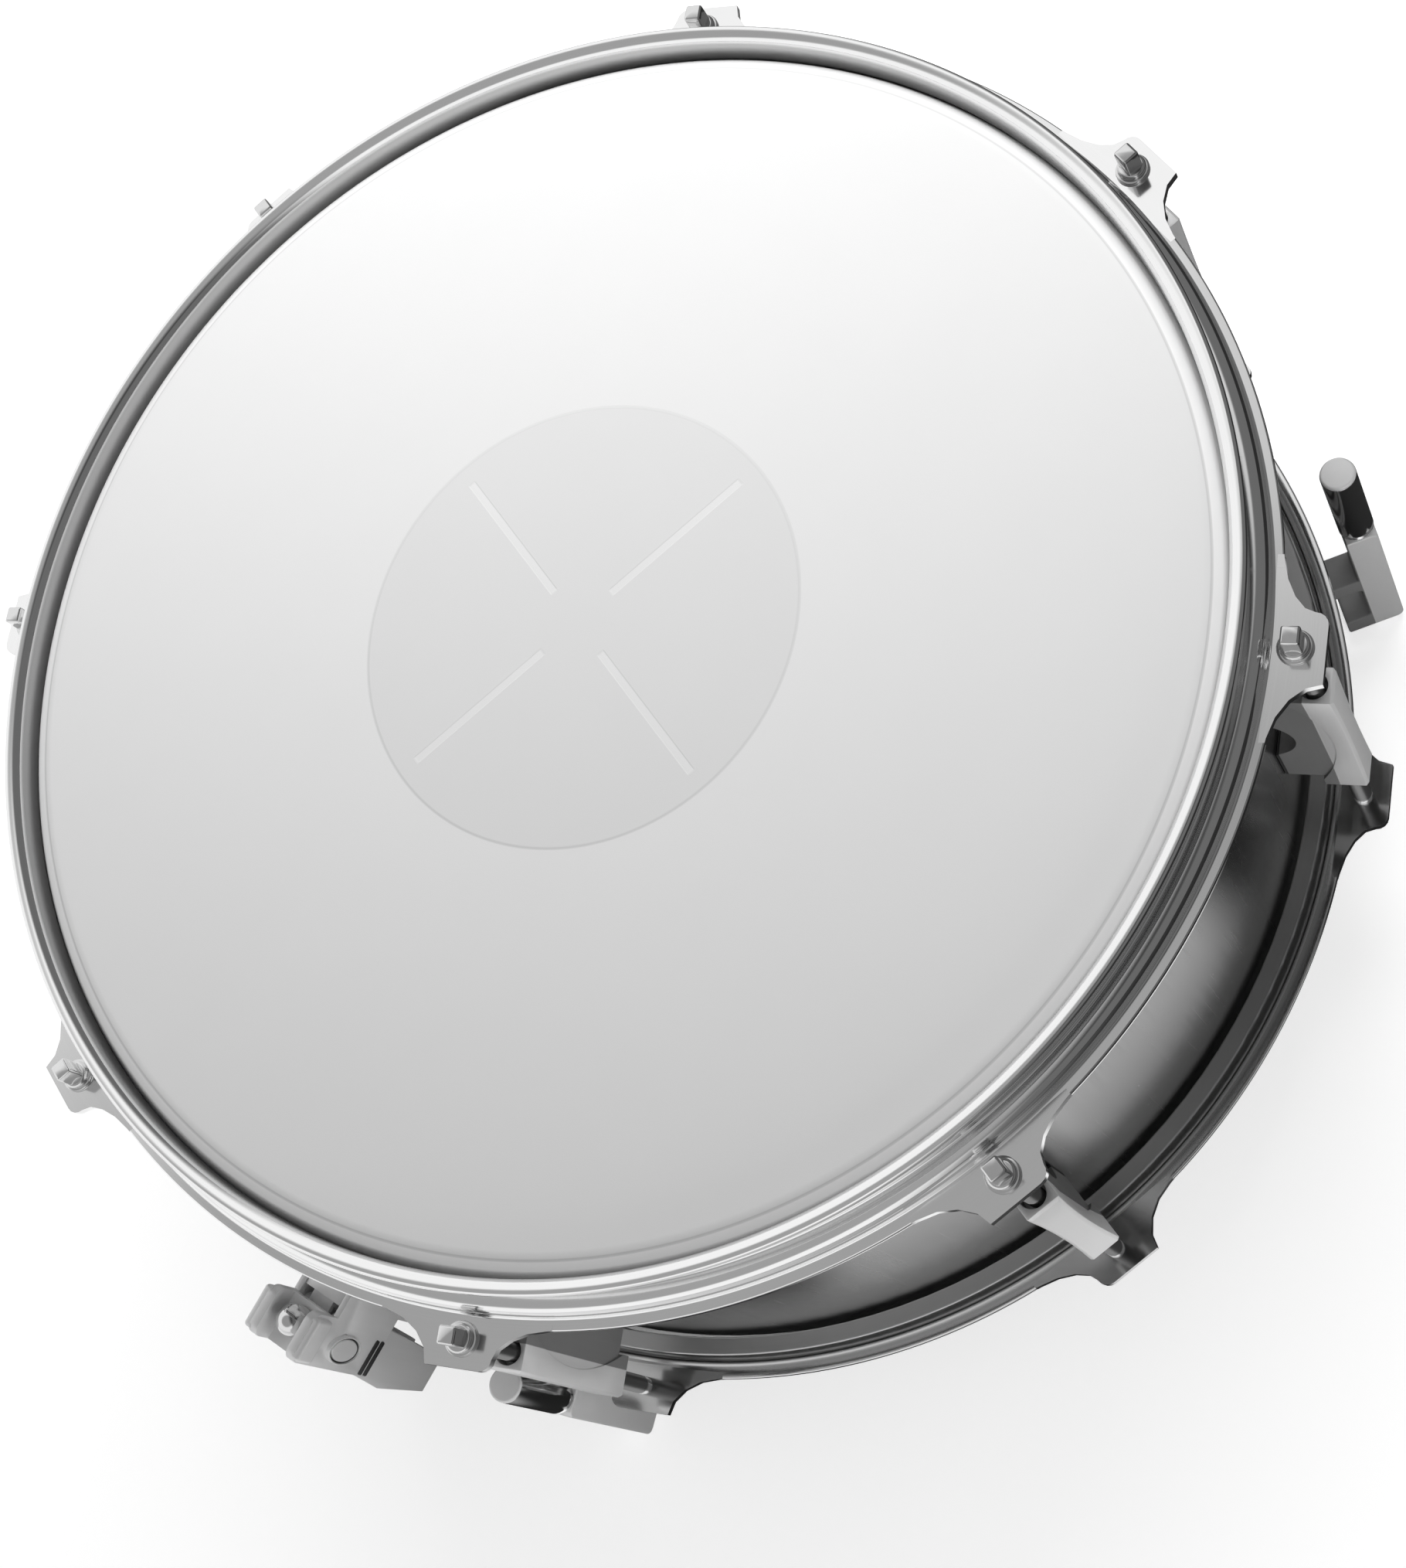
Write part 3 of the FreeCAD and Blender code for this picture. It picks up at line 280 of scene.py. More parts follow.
@dataclass(frozen=True)
class Finish:
    """What a surface is made of."""

    name: str
    slot: Slot

    def shade(self, graph: Graph) -> Wire:
        """Build the shader of this finish."""
        raise NotImplementedError

    def material(self) -> bpy.types.Material:
        """Make the material once and hand it out again."""
        found = bpy.data.materials.get(self.name)
        if found:
            return found
        made = bpy.data.materials.new(self.name)
        made.use_nodes = True
        graph = Graph(made.node_tree)
        graph.node("ShaderNodeOutputMaterial", {}, {"Surface": self.shade(graph)})
        return made


@dataclass(frozen=True)
class Metal(Finish):
    """Plated or unplated metal with polishing marks, haze and fine scratches, and painted shade where a subclass
    gives a mask.
    """

    tone: float = 0.7
    shine: float = 0.08
    haze: float = 0.1
    streak_depth: float = 0.0
    streak: Streak = Streak.NONE
    centre: Triple = ORIGIN
    metallic: float = 1.0
    scratch: float = 1.0
    bare_share: float = 0.32
    painted_shade_rough: float = 0.2
    along: Triple = (900.0, 900.0, 14.0)
    around: Pair = (2600.0, 9.0)
    grain: float = 700.0
    wipe: Triple = (260.0, 40.0, 160.0)
    wipe_turn: float = 27.0
    cloud: float = 22.0

    def marks(self, graph: Graph) -> Wire:
        """Return the polishing marks, from 0 to 1."""
        if self.streak is Streak.ALONG:
            return graph.noise(graph.place(self.along, self.centre), 1.0, 3.0, 0.65)
        if self.streak is Streak.AROUND:
            x, _, z, radius = graph.about(self.centre)
            fine, coarse = self.around
            ring = graph.node("ShaderNodeCombineXYZ", {}, {0: radius * fine, 1: z * fine, 2: x * coarse})
            return graph.noise(ring, 1.0, 2.0, 0.6)
        return graph.noise(graph.place(centre=self.centre), self.grain, 3.0, 0.6)

    def painted_shade(self, graph: Graph) -> Wire | None:
        """Return where shade is painted in, if anywhere."""
        return None

    def shade(self, graph: Graph) -> Wire:
        """Build a metal whose haze and marks vary over it, darkened by painted shade where a mask is given."""
        clouds = graph.noise(graph.place(centre=self.centre), self.cloud, 4.0, 0.55)
        wipes = graph.noise(graph.place(self.wipe, self.centre, self.wipe_turn), 1.0, 4.0, 0.7)
        marks = self.marks(graph)
        scratches = graph.ease(wipes, 0.62, 0.74) * self.scratch
        colour = graph.mix(clouds * 0.6 + marks * 0.4, grey(self.tone * 0.93), grey(min(1.0, self.tone * 1.05)))
        rough = self.shine + self.haze * (clouds - 0.35) * 0.35 + scratches * 0.05 + marks * self.shine * 0.5
        relief = marks * self.streak_depth + scratches * 0.15
        # Painted shade: darker, rougher metal where a subclass gives its mask.
        bare = self.painted_shade(graph)
        if bare:
            colour = graph.mix(bare, colour, grey(self.tone * self.bare_share))
            rough = rough + bare * self.painted_shade_rough
        return graph.surface(
            Base_Color=colour, Metallic=self.metallic, Roughness=rough & 0.9,
            Normal=graph.bump(relief, 0.00004, 0.35))


@dataclass(frozen=True)
class PaintedShadeMetal(Metal):
    """Metal with painted shade near the drum's axis and mid-plane: on a hoop's inner wall, under a lug's bar, in a
    foot's jaw and on the rods below the ears.
    """

    reach: float = 1.0
    level: float = 1.0
    reach_soft: float = 0.0003
    level_soft: float = 0.0008

    def painted_shade(self, graph: Graph) -> Wire:
        """Return what lies inside the reach and below the level, where shade is painted."""
        _, _, z, radius = graph.about(self.centre)
        inner = graph.ease(radius, self.reach + self.reach_soft, self.reach)
        return inner * graph.step(abs(z), self.level, -self.level_soft)


@dataclass(frozen=True)
class CoatedFilm(Finish):
    """Sprayed white film that shows the slit dot glued under it, with a painted highlight on its collar and a
    painted shade line at the coat's edge.
    """

    centre: Triple = ORIGIN
    film: float = 0.84
    under_dot: float = 0.775
    dot_radius: float = 0.065
    slit_near: float = 0.0125
    slit_far: float = 0.059
    slit_half: float = 0.0011
    slit_turn: float = 67.5
    coat_edge: float = 0.1742
    collar: float = 1.0
    shade_line_share: float = 0.32
    rim_share: float = 0.35
    mottle: Pair = (0.985, 1.01)

    def dot(self, graph: Graph) -> tuple[Wire, Wire, Wire]:
        """Return the masks of the dot, its rim line and its slits."""
        x, y, _, radius = graph.about(self.centre, self.slit_turn)
        disc = graph.step(radius, self.dot_radius, -0.0004)
        rim = graph.ease(abs(radius - self.dot_radius), 0.0007, 0.0002)
        slits = None
        for along, across in ((abs(x), abs(y)), (abs(y), abs(x))):
            inside = graph.step(across, self.slit_half, -0.0002)
            reach = graph.step(along, self.slit_near, 0.0005)
            end = graph.step(along, self.slit_far, -0.0005)
            slit = inside * reach * end
            slits = slit if slits is None else slits | slit
        return disc, rim, slits

    def shade(self, graph: Graph) -> Wire:
        """Build the coat's grain and mottle, the dot seen through it, a painted highlight on the collar and a
        painted shade line at the coat's edge.
        """
        disc, rim, slits = self.dot(graph)
        grain = graph.noise(graph.place(), 2600.0, 2.0, 0.6)
        mottle = graph.noise(graph.place(), 38.0, 5.0, 0.6)
        dot_only = disc * (1 - slits)
        plain, under = (graph.mix(mottle, *(grey(tone * share) for share in self.mottle))
                        for tone in (self.film, self.under_dot))
        base = graph.mix(dot_only, plain, under)
        edge = graph.mix(rim * self.rim_share, base, grey(self.under_dot * 0.8))
        *_, radius = graph.about(self.centre)
        # Painted highlight: the collar beyond the coat's edge is painted whiter and made smoother.
        bare = graph.step(radius, self.coat_edge, 0.0003)
        # Painted shade: a thin dark line round the coat's edge.
        line = graph.ease(abs(radius - self.coat_edge), 0.0005, 0.0002)
        sprayed = graph.mix(bare, edge, grey(self.collar))
        colour = graph.mix(line * self.shade_line_share, sprayed, grey(self.under_dot * 0.5))
        relief = dot_only * 0.7 + grain * (1 - bare) * 0.12
        return graph.surface(
            Base_Color=colour, Roughness=0.52 + grain * 0.14 - dot_only * 0.05 - bare * 0.22,
            Specular_IOR_Level=0.35, Normal=graph.bump(relief, 0.00022, 0.6))


@dataclass(frozen=True)
class ClearFilm(Finish):
    """Thin hazy film that the snare wires lie on."""

    tone: float = 0.86
    cover: float = 0.42

    def shade(self, graph: Graph) -> Wire:
        """Build a hazy film with faint flow marks."""
        flow = graph.noise(graph.place((30, 90, 30)), 1.0, 4.0, 0.6)
        specks = graph.ease(graph.noise(graph.place(), 1500.0, 1.0), 0.66, 0.74)
        return graph.surface(
            Base_Color=graph.mix(flow, grey(self.tone * 0.94), grey(self.tone)),
            Roughness=0.16 + flow * 0.12, Alpha=self.cover + flow * 0.1 + specks * 0.1,
            Normal=graph.bump(flow, 0.0001, 0.3))


@dataclass(frozen=True)
class Moulded(Finish):
    """Rubber, resin or plastic with a fine moulded grain."""

    tone: float = 0.05
    rough: float = 0.6
    grain_scale: float = 1800.0
    weave: float = 0.0

    def shade(self, graph: Graph) -> Wire:
        """Build a dull surface with grain, and threads where it is woven."""
        grain = graph.noise(graph.place(), self.grain_scale, 3.0, 0.6)
        clouds = graph.noise(graph.place(), 60.0, 3.0, 0.55)
        relief = grain
        if self.weave:
            threads, crossing = (graph.node("ShaderNodeTexWave", {"bands_direction": way}, {
                "Vector": graph.place(), "Scale": self.weave, "Distortion": 0.4, "Detail": 1.0}, "Fac")
                for way in "ZY")
            relief = grain * 0.3 + threads * crossing
        colour = graph.mix(clouds * 0.7 + relief * 0.3, grey(self.tone * 0.8), grey(self.tone * 1.25))
        return graph.surface(
            Base_Color=colour, Roughness=self.rough + grain * 0.12,
            Normal=graph.bump(relief, 0.00008, 0.5))


@dataclass(frozen=True)
class RowFrame:
    """Where the drum's middle lies in the row frame, read from the CAD shell."""

    middle: Vector

    @classmethod
    def read(cls) -> "RowFrame":
        """Measure the CAD shell."""
        low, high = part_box("shell")
        return cls((low + high) / 2)

    def matrix(self) -> Matrix:
        """Return the step from bench millimetres to the row frame."""
        return Matrix.Translation(self.middle) @ Matrix.Scale(MM, 4)


@dataclass(frozen=True)
class Seat:
    """Where a piece sits round the shell, and whether it hangs on the snare side."""

    angle: float = 0.0
    flipped: bool = False

    @classmethod
    def rod(cls, number: int, flipped: bool) -> "Seat":
        """Return the seat of a rod, counted from 0."""
        return cls(360.0 / RODS * (number + 0.5), flipped)

    def matrix(self) -> Matrix:
        """Return the turn of the seat about the drum axis."""
        turn = Matrix.Rotation(math.radians(self.angle), 4, "Z")
        return turn @ Matrix.Rotation(math.pi, 4, "X") if self.flipped else turn


class Blank:
    """A workpiece on the bench, in millimetres about the drum's middle."""

    def __init__(self) -> None:
        """Start with an empty mesh."""
        self.mesh = bmesh.new()

    def outline(self, corners: Sequence[Corner], closed: bool = True, segments: int = 4) -> tuple[list, list]:
        """Draw a path in the XY plane and round its corners.

        Args:
            corners: Places with the radius that each corner is rounded to.
            closed: Whether the last corner joins the first.
            segments: Steps of each rounded corner.

        Returns:
            The vertices and edges of the path.
        """
        old = set(self.mesh.verts)
        verts = [self.mesh.verts.new((x, y, 0)) for x, y, _ in corners]
        for first, second in zip(verts, verts[1:] + verts[:1] if closed else verts[1:]):
            self.mesh.edges.new((first, second))
        for i, (vert, corner) in enumerate(zip(list(verts), corners)):
            if corner[2] > 0:
                here = Vector(corner[:2])
                back = (Vector(corners[i - 1][:2]) - here).normalized()
                ahead = (Vector(corners[(i + 1) % len(corners)][:2]) - here).normalized()
                half = back.angle(ahead) / 2
                bmesh.ops.bevel(
                    self.mesh, geom=[vert], offset=corner[2] / math.tan(half), offset_type="OFFSET",
                    segments=segments, profile=0.5, affect="VERTICES", material=-1)
        made = [v for v in self.mesh.verts if v not in old]
        return made, touching(made, "link_edges")

    def lathe(self, corners: Sequence[Corner], steps: int = 48, closed: bool = True,
              segments: int = 4, sweep: float = 360.0, start: float = 0.0) -> "Blank":
        """Turn a section about the Z axis.

        Args:
            corners: Radius, height and rounding of each corner of the section.
            steps: Steps of the turn.
            closed: Whether the section is a closed ring or ends on the axis.
            segments: Steps of each rounded corner.
            sweep: How far the section turns, in degrees.
            start: Where the turn begins, in degrees.

        Returns:
            This blank.
        """
        verts, edges = self.outline(corners, closed, segments)
        upright = Matrix.Rotation(math.radians(start), 4, "Z") @ Matrix.Rotation(math.pi / 2, 4, "X")
        bmesh.ops.transform(self.mesh, matrix=upright, verts=verts)
        whole = sweep >= 360.0
        section = verts + edges if whole else self.face(edges)
        self.spin(section, math.radians(sweep), steps, use_merge=whole)
        return self

    def face(self, edges: list) -> list:
        """Fill a ring of edges."""
        return bmesh.ops.contextual_create(self.mesh, geom=edges)["faces"]

    def spin(self, geom: list, angle: float, steps: int, rise: Sequence[float] = ORIGIN,
             axis: Sequence[float] = (0, 0, 1), **flags: bool) -> None:
        """Sweep or repeat geometry about an axis through the middle, with a rise at each step."""
        bmesh.ops.spin(
            self.mesh, geom=geom, cent=ORIGIN, axis=axis, dvec=rise, angle=angle, steps=steps, **flags)

    def plate(self, corners: Sequence[Corner], low: float, high: float, plane: Plane = Plane.FLAT,
              edge: float = 0.0, segments: int = 2, spare: Callable | None = None) -> list:
        """Cut a plate from an outline and break its edges.

        Args:
            corners: Outline with the rounding of each corner.
            low: Where the thickness starts.
            high: Where it ends.
            plane: Which way the plate faces.
            edge: Width of the broken edges.
            segments: Steps of the broken edges.
            spare: Tells which edges stay sharp, from an edge's middle.

        Returns:
            The plate's vertices.
        """
        old = set(self.mesh.verts)
        base, edges = self.outline(corners)
        raised = bmesh.ops.extrude_face_region(self.mesh, geom=self.face(edges))["geom"]
        self.move(base, (0, 0, low))
        self.move([v for v in raised if isinstance(v, bmesh.types.BMVert)], (0, 0, high))
        made = [v for v in self.mesh.verts if v not in old]
        if plane is Plane.SIDE:
            bmesh.ops.transform(self.mesh, matrix=SIDEWAYS, verts=made)
        bmesh.ops.recalc_face_normals(self.mesh, faces=touching(made, "link_faces"))
        if edge:
            rims = [e for e in touching(made, "link_edges") if e.calc_face_angle(0.0) > RIM_ANGLE]
            if spare:
                rims = [e for e in rims if not spare((e.verts[0].co + e.verts[1].co) / 2)]
            self.bevel(rims, edge, segments)
        return [v for v in self.mesh.verts if v not in old]

    def bevel(self, edges: Iterable, width: float, segments: int = 2) -> None:
        """Break a set of edges."""
        bmesh.ops.bevel(
            self.mesh, geom=list(edges), offset=width, offset_type="OFFSET", segments=segments,
            profile=0.5, affect="EDGES", material=-1, clamp_overlap=True)

    def move(self, verts: Iterable, shift: Sequence[float], turn: float = 0.0, axis: str = "Z") -> None:
        """Turn some vertices about an axis of the drum and then shift them."""
        matrix = Matrix.Translation(Vector(shift)) @ Matrix.Rotation(math.radians(turn), 4, axis)
        bmesh.ops.transform(self.mesh, matrix=matrix, verts=list(verts))

    def ring(self, verts: Iterable, count: int) -> None:
        """Repeat some vertices and what joins them round the drum axis."""
        verts = list(verts)
        geom = verts + touching(verts, "link_edges") + touching(verts, "link_faces")
        self.spin(geom, math.tau * (count - 1) / count, count - 1, use_duplicate=True)

    def add(self, other: "Blank", matrix: Matrix) -> None:
        """Weld in a copy of another blank."""
        copy = bpy.data.meshes.new("copy")
        other.mesh.to_mesh(copy)
        copy.transform(matrix)
        self.mesh.from_mesh(copy)
        bpy.data.meshes.remove(copy)

    def copies(self, places: Iterable[Matrix]) -> "Blank":
        """Return a blank with a copy of this one at each place."""
        everything = Blank()
        for matrix in places:
            everything.add(self, matrix)
        return everything


@dataclass
class Assembly:
    """A sub-assembly of the drum."""

    place: RowFrame
    made: list[str] = field(default_factory=list, init=False)

    def fit(self, blank: Blank, name: str, finish: Finish, nodes: Sequence[str], body: str = "drum",
            seat: Seat = Seat(), crease: float = 35.0, bend: tuple[str, float, float] | None = None) -> None:
        """Turn a blank into a finished piece that stands for CAD nodes.

        Args:
            blank: The workpiece.
            name: Name of the piece.
            finish: Its surface.
            nodes: CAD nodes that it stands for.
            body: The CAD body that it moves with.
            seat: Where it sits round the shell.
            crease: Angle above which an edge stays crisp, in degrees.
            bend: A second body and two heights; where given, the piece is joined to no body, and these values are
                not used.
        """
        mesh = blank.mesh
        bmesh.ops.remove_doubles(mesh, verts=mesh.verts, dist=WELD)
        bmesh.ops.recalc_face_normals(mesh, faces=mesh.faces)
        bmesh.ops.transform(mesh, matrix=self.place.matrix() @ seat.matrix(), verts=mesh.verts)
        data = bpy.data.meshes.new(name)
        mesh.to_mesh(data)
        mesh.free()
        data.polygons.foreach_set("use_smooth", [True] * len(data.polygons))
        data.set_sharp_from_angle(angle=math.radians(crease))
        data.materials.append(finish.material())
        piece = stand(name, data)
        if bend:
            level = self.place.matrix()
            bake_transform(piece)
        else:
            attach(piece, body)
        if nodes:
            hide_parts(*nodes)
        self.made.append(name)
        LOG.info("%s: %d faces on %s", name, len(data.polygons), body)

    def copy(self, node: str) -> Blank:
        """Return a merged copy of a CAD shape in the drum's own frame."""
        blank = Blank()
        mesh = blank.mesh
        mesh.from_mesh(frame["nodes"][node].data)
        bmesh.ops.transform(mesh, matrix=self.place.matrix().inverted(), verts=mesh.verts)
        bmesh.ops.remove_doubles(mesh, verts=mesh.verts, dist=CAD_WELD)
        bmesh.ops.dissolve_limit(
            mesh, angle_limit=math.radians(0.5), use_dissolve_boundaries=False, verts=mesh.verts, edges=mesh.edges)
        return blank

    def soften(self, node: str, name: str, finish: Finish, width: float, body: str = "drum") -> None:
        """Break the edges of a copy of a CAD shape, and let it stand for its node.

        Args:
            node: The CAD node.
            name: Name of the piece.
            finish: Its surface.
            width: Width of the broken edges.
            body: The CAD body that it moves with.
        """
        blank = self.copy(node)
        blank.bevel([e for e in blank.mesh.edges if e.calc_face_angle(0.0) > CAD_RIM_ANGLE], width)
        self.fit(blank, name, finish, [node], body)

    def dress(self, finish: Finish, *nodes: str) -> None:
        """Give CAD nodes a better finish and leave their shape."""
        for name in nodes:
            data = frame["nodes"][name].data
            data.materials.clear()
            data.materials.append(finish.material())
            self.made.append(name)
            LOG.info("%s keeps its CAD shape", name)


@dataclass
class Finishes:
    """Every finish of the drum, centred on its axis."""

    middle: Vector

    def __post_init__(self) -> None:
        """Mix each finish for this drum."""
        centre = tuple(self.middle)
        metal = partial(Metal, centre=centre)
        painted_shade_metal = partial(PaintedShadeMetal, centre=centre)
        # Painted shade darkens the hoop's inner wall.
        self.hoop = painted_shade_metal(
            "chromed_hoop", Slot.CHROME, 0.9, 0.085, 0.06, 0.015, Streak.AROUND,
            reach=0.1797, level=0.0745, bare_share=0.5)
        self.plate = metal("chrome_plate", Slot.CHROME, 0.72, 0.09, 0.1, 0.2)
        self.satin = metal("satin_casting", Slot.CHROME, 0.9, 0.36, 0.2, 0.3, Streak.ALONG, metallic=0.5)
        # Near-black for the strips and rings of painted shadow on the strainer.
        self.shadow_paint = metal("painted_shadow_line", Slot.CHROME, 0.1, 0.35, 0.15, 0.2)
        # Painted shade darkens the lug under its bar.
        self.lug = painted_shade_metal(
            "satin_lug", Slot.CHROME, 0.95, 0.36, 0.2, 0.3, Streak.ALONG, metallic=0.5, reach=0.1915)
        self.shell = metal("polished_shell", Slot.STEEL, 0.5, 0.2, 0.1, 0.5, Streak.ALONG, scratch=0.25)
        # Painted shade darkens the rods below the ears.
        self.key = painted_shade_metal("chromed_key_rod", Slot.CHROME, 0.74, 0.08, 0.08, 0.15, level=0.0565)
        self.screw = metal("bright_screw", Slot.STEEL, 0.62, 0.2, 0.15, 0.3)
        self.wire = metal("drawn_wire", Slot.STEEL, 0.66, 0.2, 0.12, 0.2)
        self.nut = metal("brass_nut", Slot.BRASS, 0.5, 0.25, 0.2, 0.2)
        self.rim = metal("flesh_hoop_rim", Slot.ALUMINIUM, 0.66, 0.28, 0.2, 0.5, Streak.AROUND)
        # Painted shade darkens the foot's jaw, toe and inner face.
        self.foot = painted_shade_metal("cast_foot", Slot.FOOT_METAL, 0.92, 0.4, 0.2, 0.4, metallic=0.4, reach=0.1982)
        self.cap = metal("satin_cap", Slot.CHROME, 0.92, 0.4, 0.2, 0.4, metallic=0.4)
        self.sleeve = metal("chromed_sleeve", Slot.CHROME, 0.92, 0.1, 0.06, 0.1)
        self.film = CoatedFilm("sprayed_coating", Slot.COATED_FILM, centre)
        self.clear = ClearFilm("hazy_film", Slot.CLEAR_FILM)
        self.dot = Moulded("glued_dot", Slot.DOT_FILM, 0.7, 0.45, 900.0)
        self.resin = Moulded("hoop_resin", Slot.RESIN, 0.5, 0.4, 700.0)
        self.gasket = Moulded("rubber_gasket", Slot.GASKET, 0.03, 0.7, 2200.0)
        self.strap = Moulded("woven_strap", Slot.STRAP, 0.07, 0.55, 1600.0, 420.0)


@dataclass
class Shell(Assembly):
    """Steel shell with its bearing edges and vent."""

    def build(self, looks: Finishes) -> None:
        """Dress the shell and its vent."""
        self.dress(looks.shell, "shell")
        self.dress(looks.plate, "vent_grommet")


@dataclass
class Head(Assembly):
    """Film with its collar, crimped into a channel hoop with resin."""

    edge_radius: float = 173.0
    film_top: float = 70.3
    film_low: float = 70.05
    hem_radius: float = 180.6
    hem_thick: float = 0.25
    hem_low: float = 58.5
    hem_top: float = 62.4
    shoulder_radius: float = 177.4
    shoulder_drop: float = 1.5
    crest_bend: float = 7.0
    bend: float = 2.2

    def film(self) -> Blank:
        """Turn the film, its bend over the bearing edge and its collar."""
        def face(level: float, out: float) -> list[Corner]:
            """Return one face of the film, out from the other."""
            hem = self.hem_radius + out
            return [
                (0.0, level, 0), (self.edge_radius, level, self.crest_bend),
                (self.shoulder_radius + out / 2, level - self.shoulder_drop, self.bend),
                (hem, self.hem_top, self.bend), (hem, self.hem_low, 0)]

        outer = face(self.film_top, self.hem_thick)
        return Blank().lathe([*face(self.film_low, 0.0), *outer[::-1]], 240, closed=False, segments=5)

    def build(self, looks: Finishes) -> None:
        """Build both heads and the dot glued under the upper one."""
        self.fit(self.film(), "batter_head_film", looks.film, ["batter_film"])
        self.fit(self.film(), "snare_side_head_film", looks.clear, ["snare_side_film"], seat=Seat(0, True))
        self.dress(looks.dot, "batter_dot")
        self.dress(looks.rim, "batter_flesh_hoop", "snare_side_flesh_hoop")
        self.dress(looks.resin, "batter_resin", "snare_side_resin")


@dataclass
class Hoops(Assembly):
    """Triple-flanged hoops with an ear for each rod."""

    wall_in: float = 179.2
    wall_out: float = 181.5
    lip_out: float = 184.0
    lip_top: float = 76.8
    sheet: float = 2.3
    shelf_top: float = 66.3
    lower_in: float = 185.0
    lower_out: float = 187.3
    flange_out: float = 190.5
    ear_out: float = 201.5
    ear_top: float = 60.3
    ear_side: float = 9.5
    ear_root: float = 25.0
    ear_flare: float = 17.0
    ear_corner: float = 3.4
    bend: float = 1.0
    lip_bend: float = 1.1
    edge: float = 0.45
    skin: float = 0.02
    slack: float = 0.02
    neck: float = 0.9
    root_in: float = 1.6
    tuck_share: float = 0.4
    gate_half: float = 24.0
    turn_steps: int = 288
    gate_steps: int = 132

    def lower_section(self, top: float) -> list[Corner]:
        """Return the shelf, lower wall and flange, up to a height of the upper wall."""
        outer = self.bend + self.sheet - self.slack
        shelf_low = self.shelf_top - self.sheet
        ear_low = self.ear_top - self.sheet
        return [
            (self.wall_in, top, 0), (self.wall_in, shelf_low, outer),
            (self.lower_in, shelf_low, self.bend), (self.lower_in, ear_low, outer),
            (self.flange_out, ear_low, self.edge), (self.flange_out, self.ear_top, self.edge),
            (self.lower_out, self.ear_top, self.bend), (self.lower_out, self.shelf_top, outer),
            (self.wall_out, self.shelf_top, self.bend), (self.wall_out, top, 0)]

    def upper_section(self, low: float) -> list[Corner]:
        """Return the upper wall and its rolled lip, from a height up."""
        outer = self.bend + self.sheet
        return [
            (self.wall_in, low, 0), (self.wall_out, low, 0),
            (self.wall_out, self.lip_top - self.sheet, self.bend),
            (self.lip_out, self.lip_top - self.sheet, self.lip_bend),
            (self.lip_out, self.lip_top, self.lip_bend), (self.wall_in, self.lip_top, outer)]

    def ear(self, blank: Blank) -> None:
        """Cut one ear that runs out of the flange, and repeat it for each rod."""
        root = math.sqrt(self.flange_out ** 2 - self.ear_root ** 2)
        half = [
            (root - self.root_in, -self.ear_root, 0), (root, -self.ear_root, 0),
            (self.flange_out + self.neck, -self.ear_side, self.ear_flare),
            (self.ear_out, -self.ear_side, self.ear_corner)]
        mirrored = [(x, -y, r) for x, y, r in reversed(half)]
        inside = (self.lower_out + self.bend * self.tuck_share, 0, 0)
        low, high = self.ear_top - self.sheet - self.skin, self.ear_top + self.skin
        verts = blank.plate(
            [*half, *mirrored, inside], low, high, Plane.FLAT, self.edge, 3, lambda spot: spot.x < root + 0.05)
        blank.move(verts, ORIGIN, 180.0 / RODS)
        blank.ring([v for v in verts if v.is_valid], RODS)

    def whole(self) -> Blank:
        """Turn the batter hoop in one go and add its ears."""
        split = self.shelf_top + self.bend + self.sheet
        section = self.lower_section(split)[1:-1] + self.upper_section(split)[2:]
        blank = Blank().lathe(section, self.turn_steps)
        self.ear(blank)
        return blank

    def gated(self) -> Blank:
        """Turn the snare-side hoop, with two gates cut out for the strap ends."""
        split = self.shelf_top + self.bend
        gate = math.degrees(math.asin(self.gate_half / self.wall_out))
        blank = Blank().lathe(self.lower_section(split), self.turn_steps)
        for start in (gate, 180.0 + gate):
            blank.lathe(self.upper_section(split), self.gate_steps, sweep=180.0 - 2 * gate, start=start)
        self.ear(blank)
        return blank

    def build(self, looks: Finishes) -> None:
        """Build both hoops."""
        self.fit(self.whole(), "batter_counter_hoop", looks.hoop, ["batter_hoop"])
        self.fit(self.gated(), "snare_side_counter_hoop", looks.hoop, ["snare_side_hoop"], seat=Seat(0, True))


@dataclass
class Lugs(Assembly):
    """Eight bridge lugs with their gaskets, swivel nuts and screws."""

    def build(self, looks: Finishes) -> None:
        """Dress the lugs and what holds them."""
        for k in range(1, RODS + 1):
            self.soften(f"lug_{k}", f"bridge_lug_{k}", looks.lug, 0.5)
        self.dress(looks.gasket, "lug_gaskets")
        self.dress(looks.nut, "lug_swivel_nuts")
        self.dress(looks.screw, "shell_screws", "shell_screw_washers")


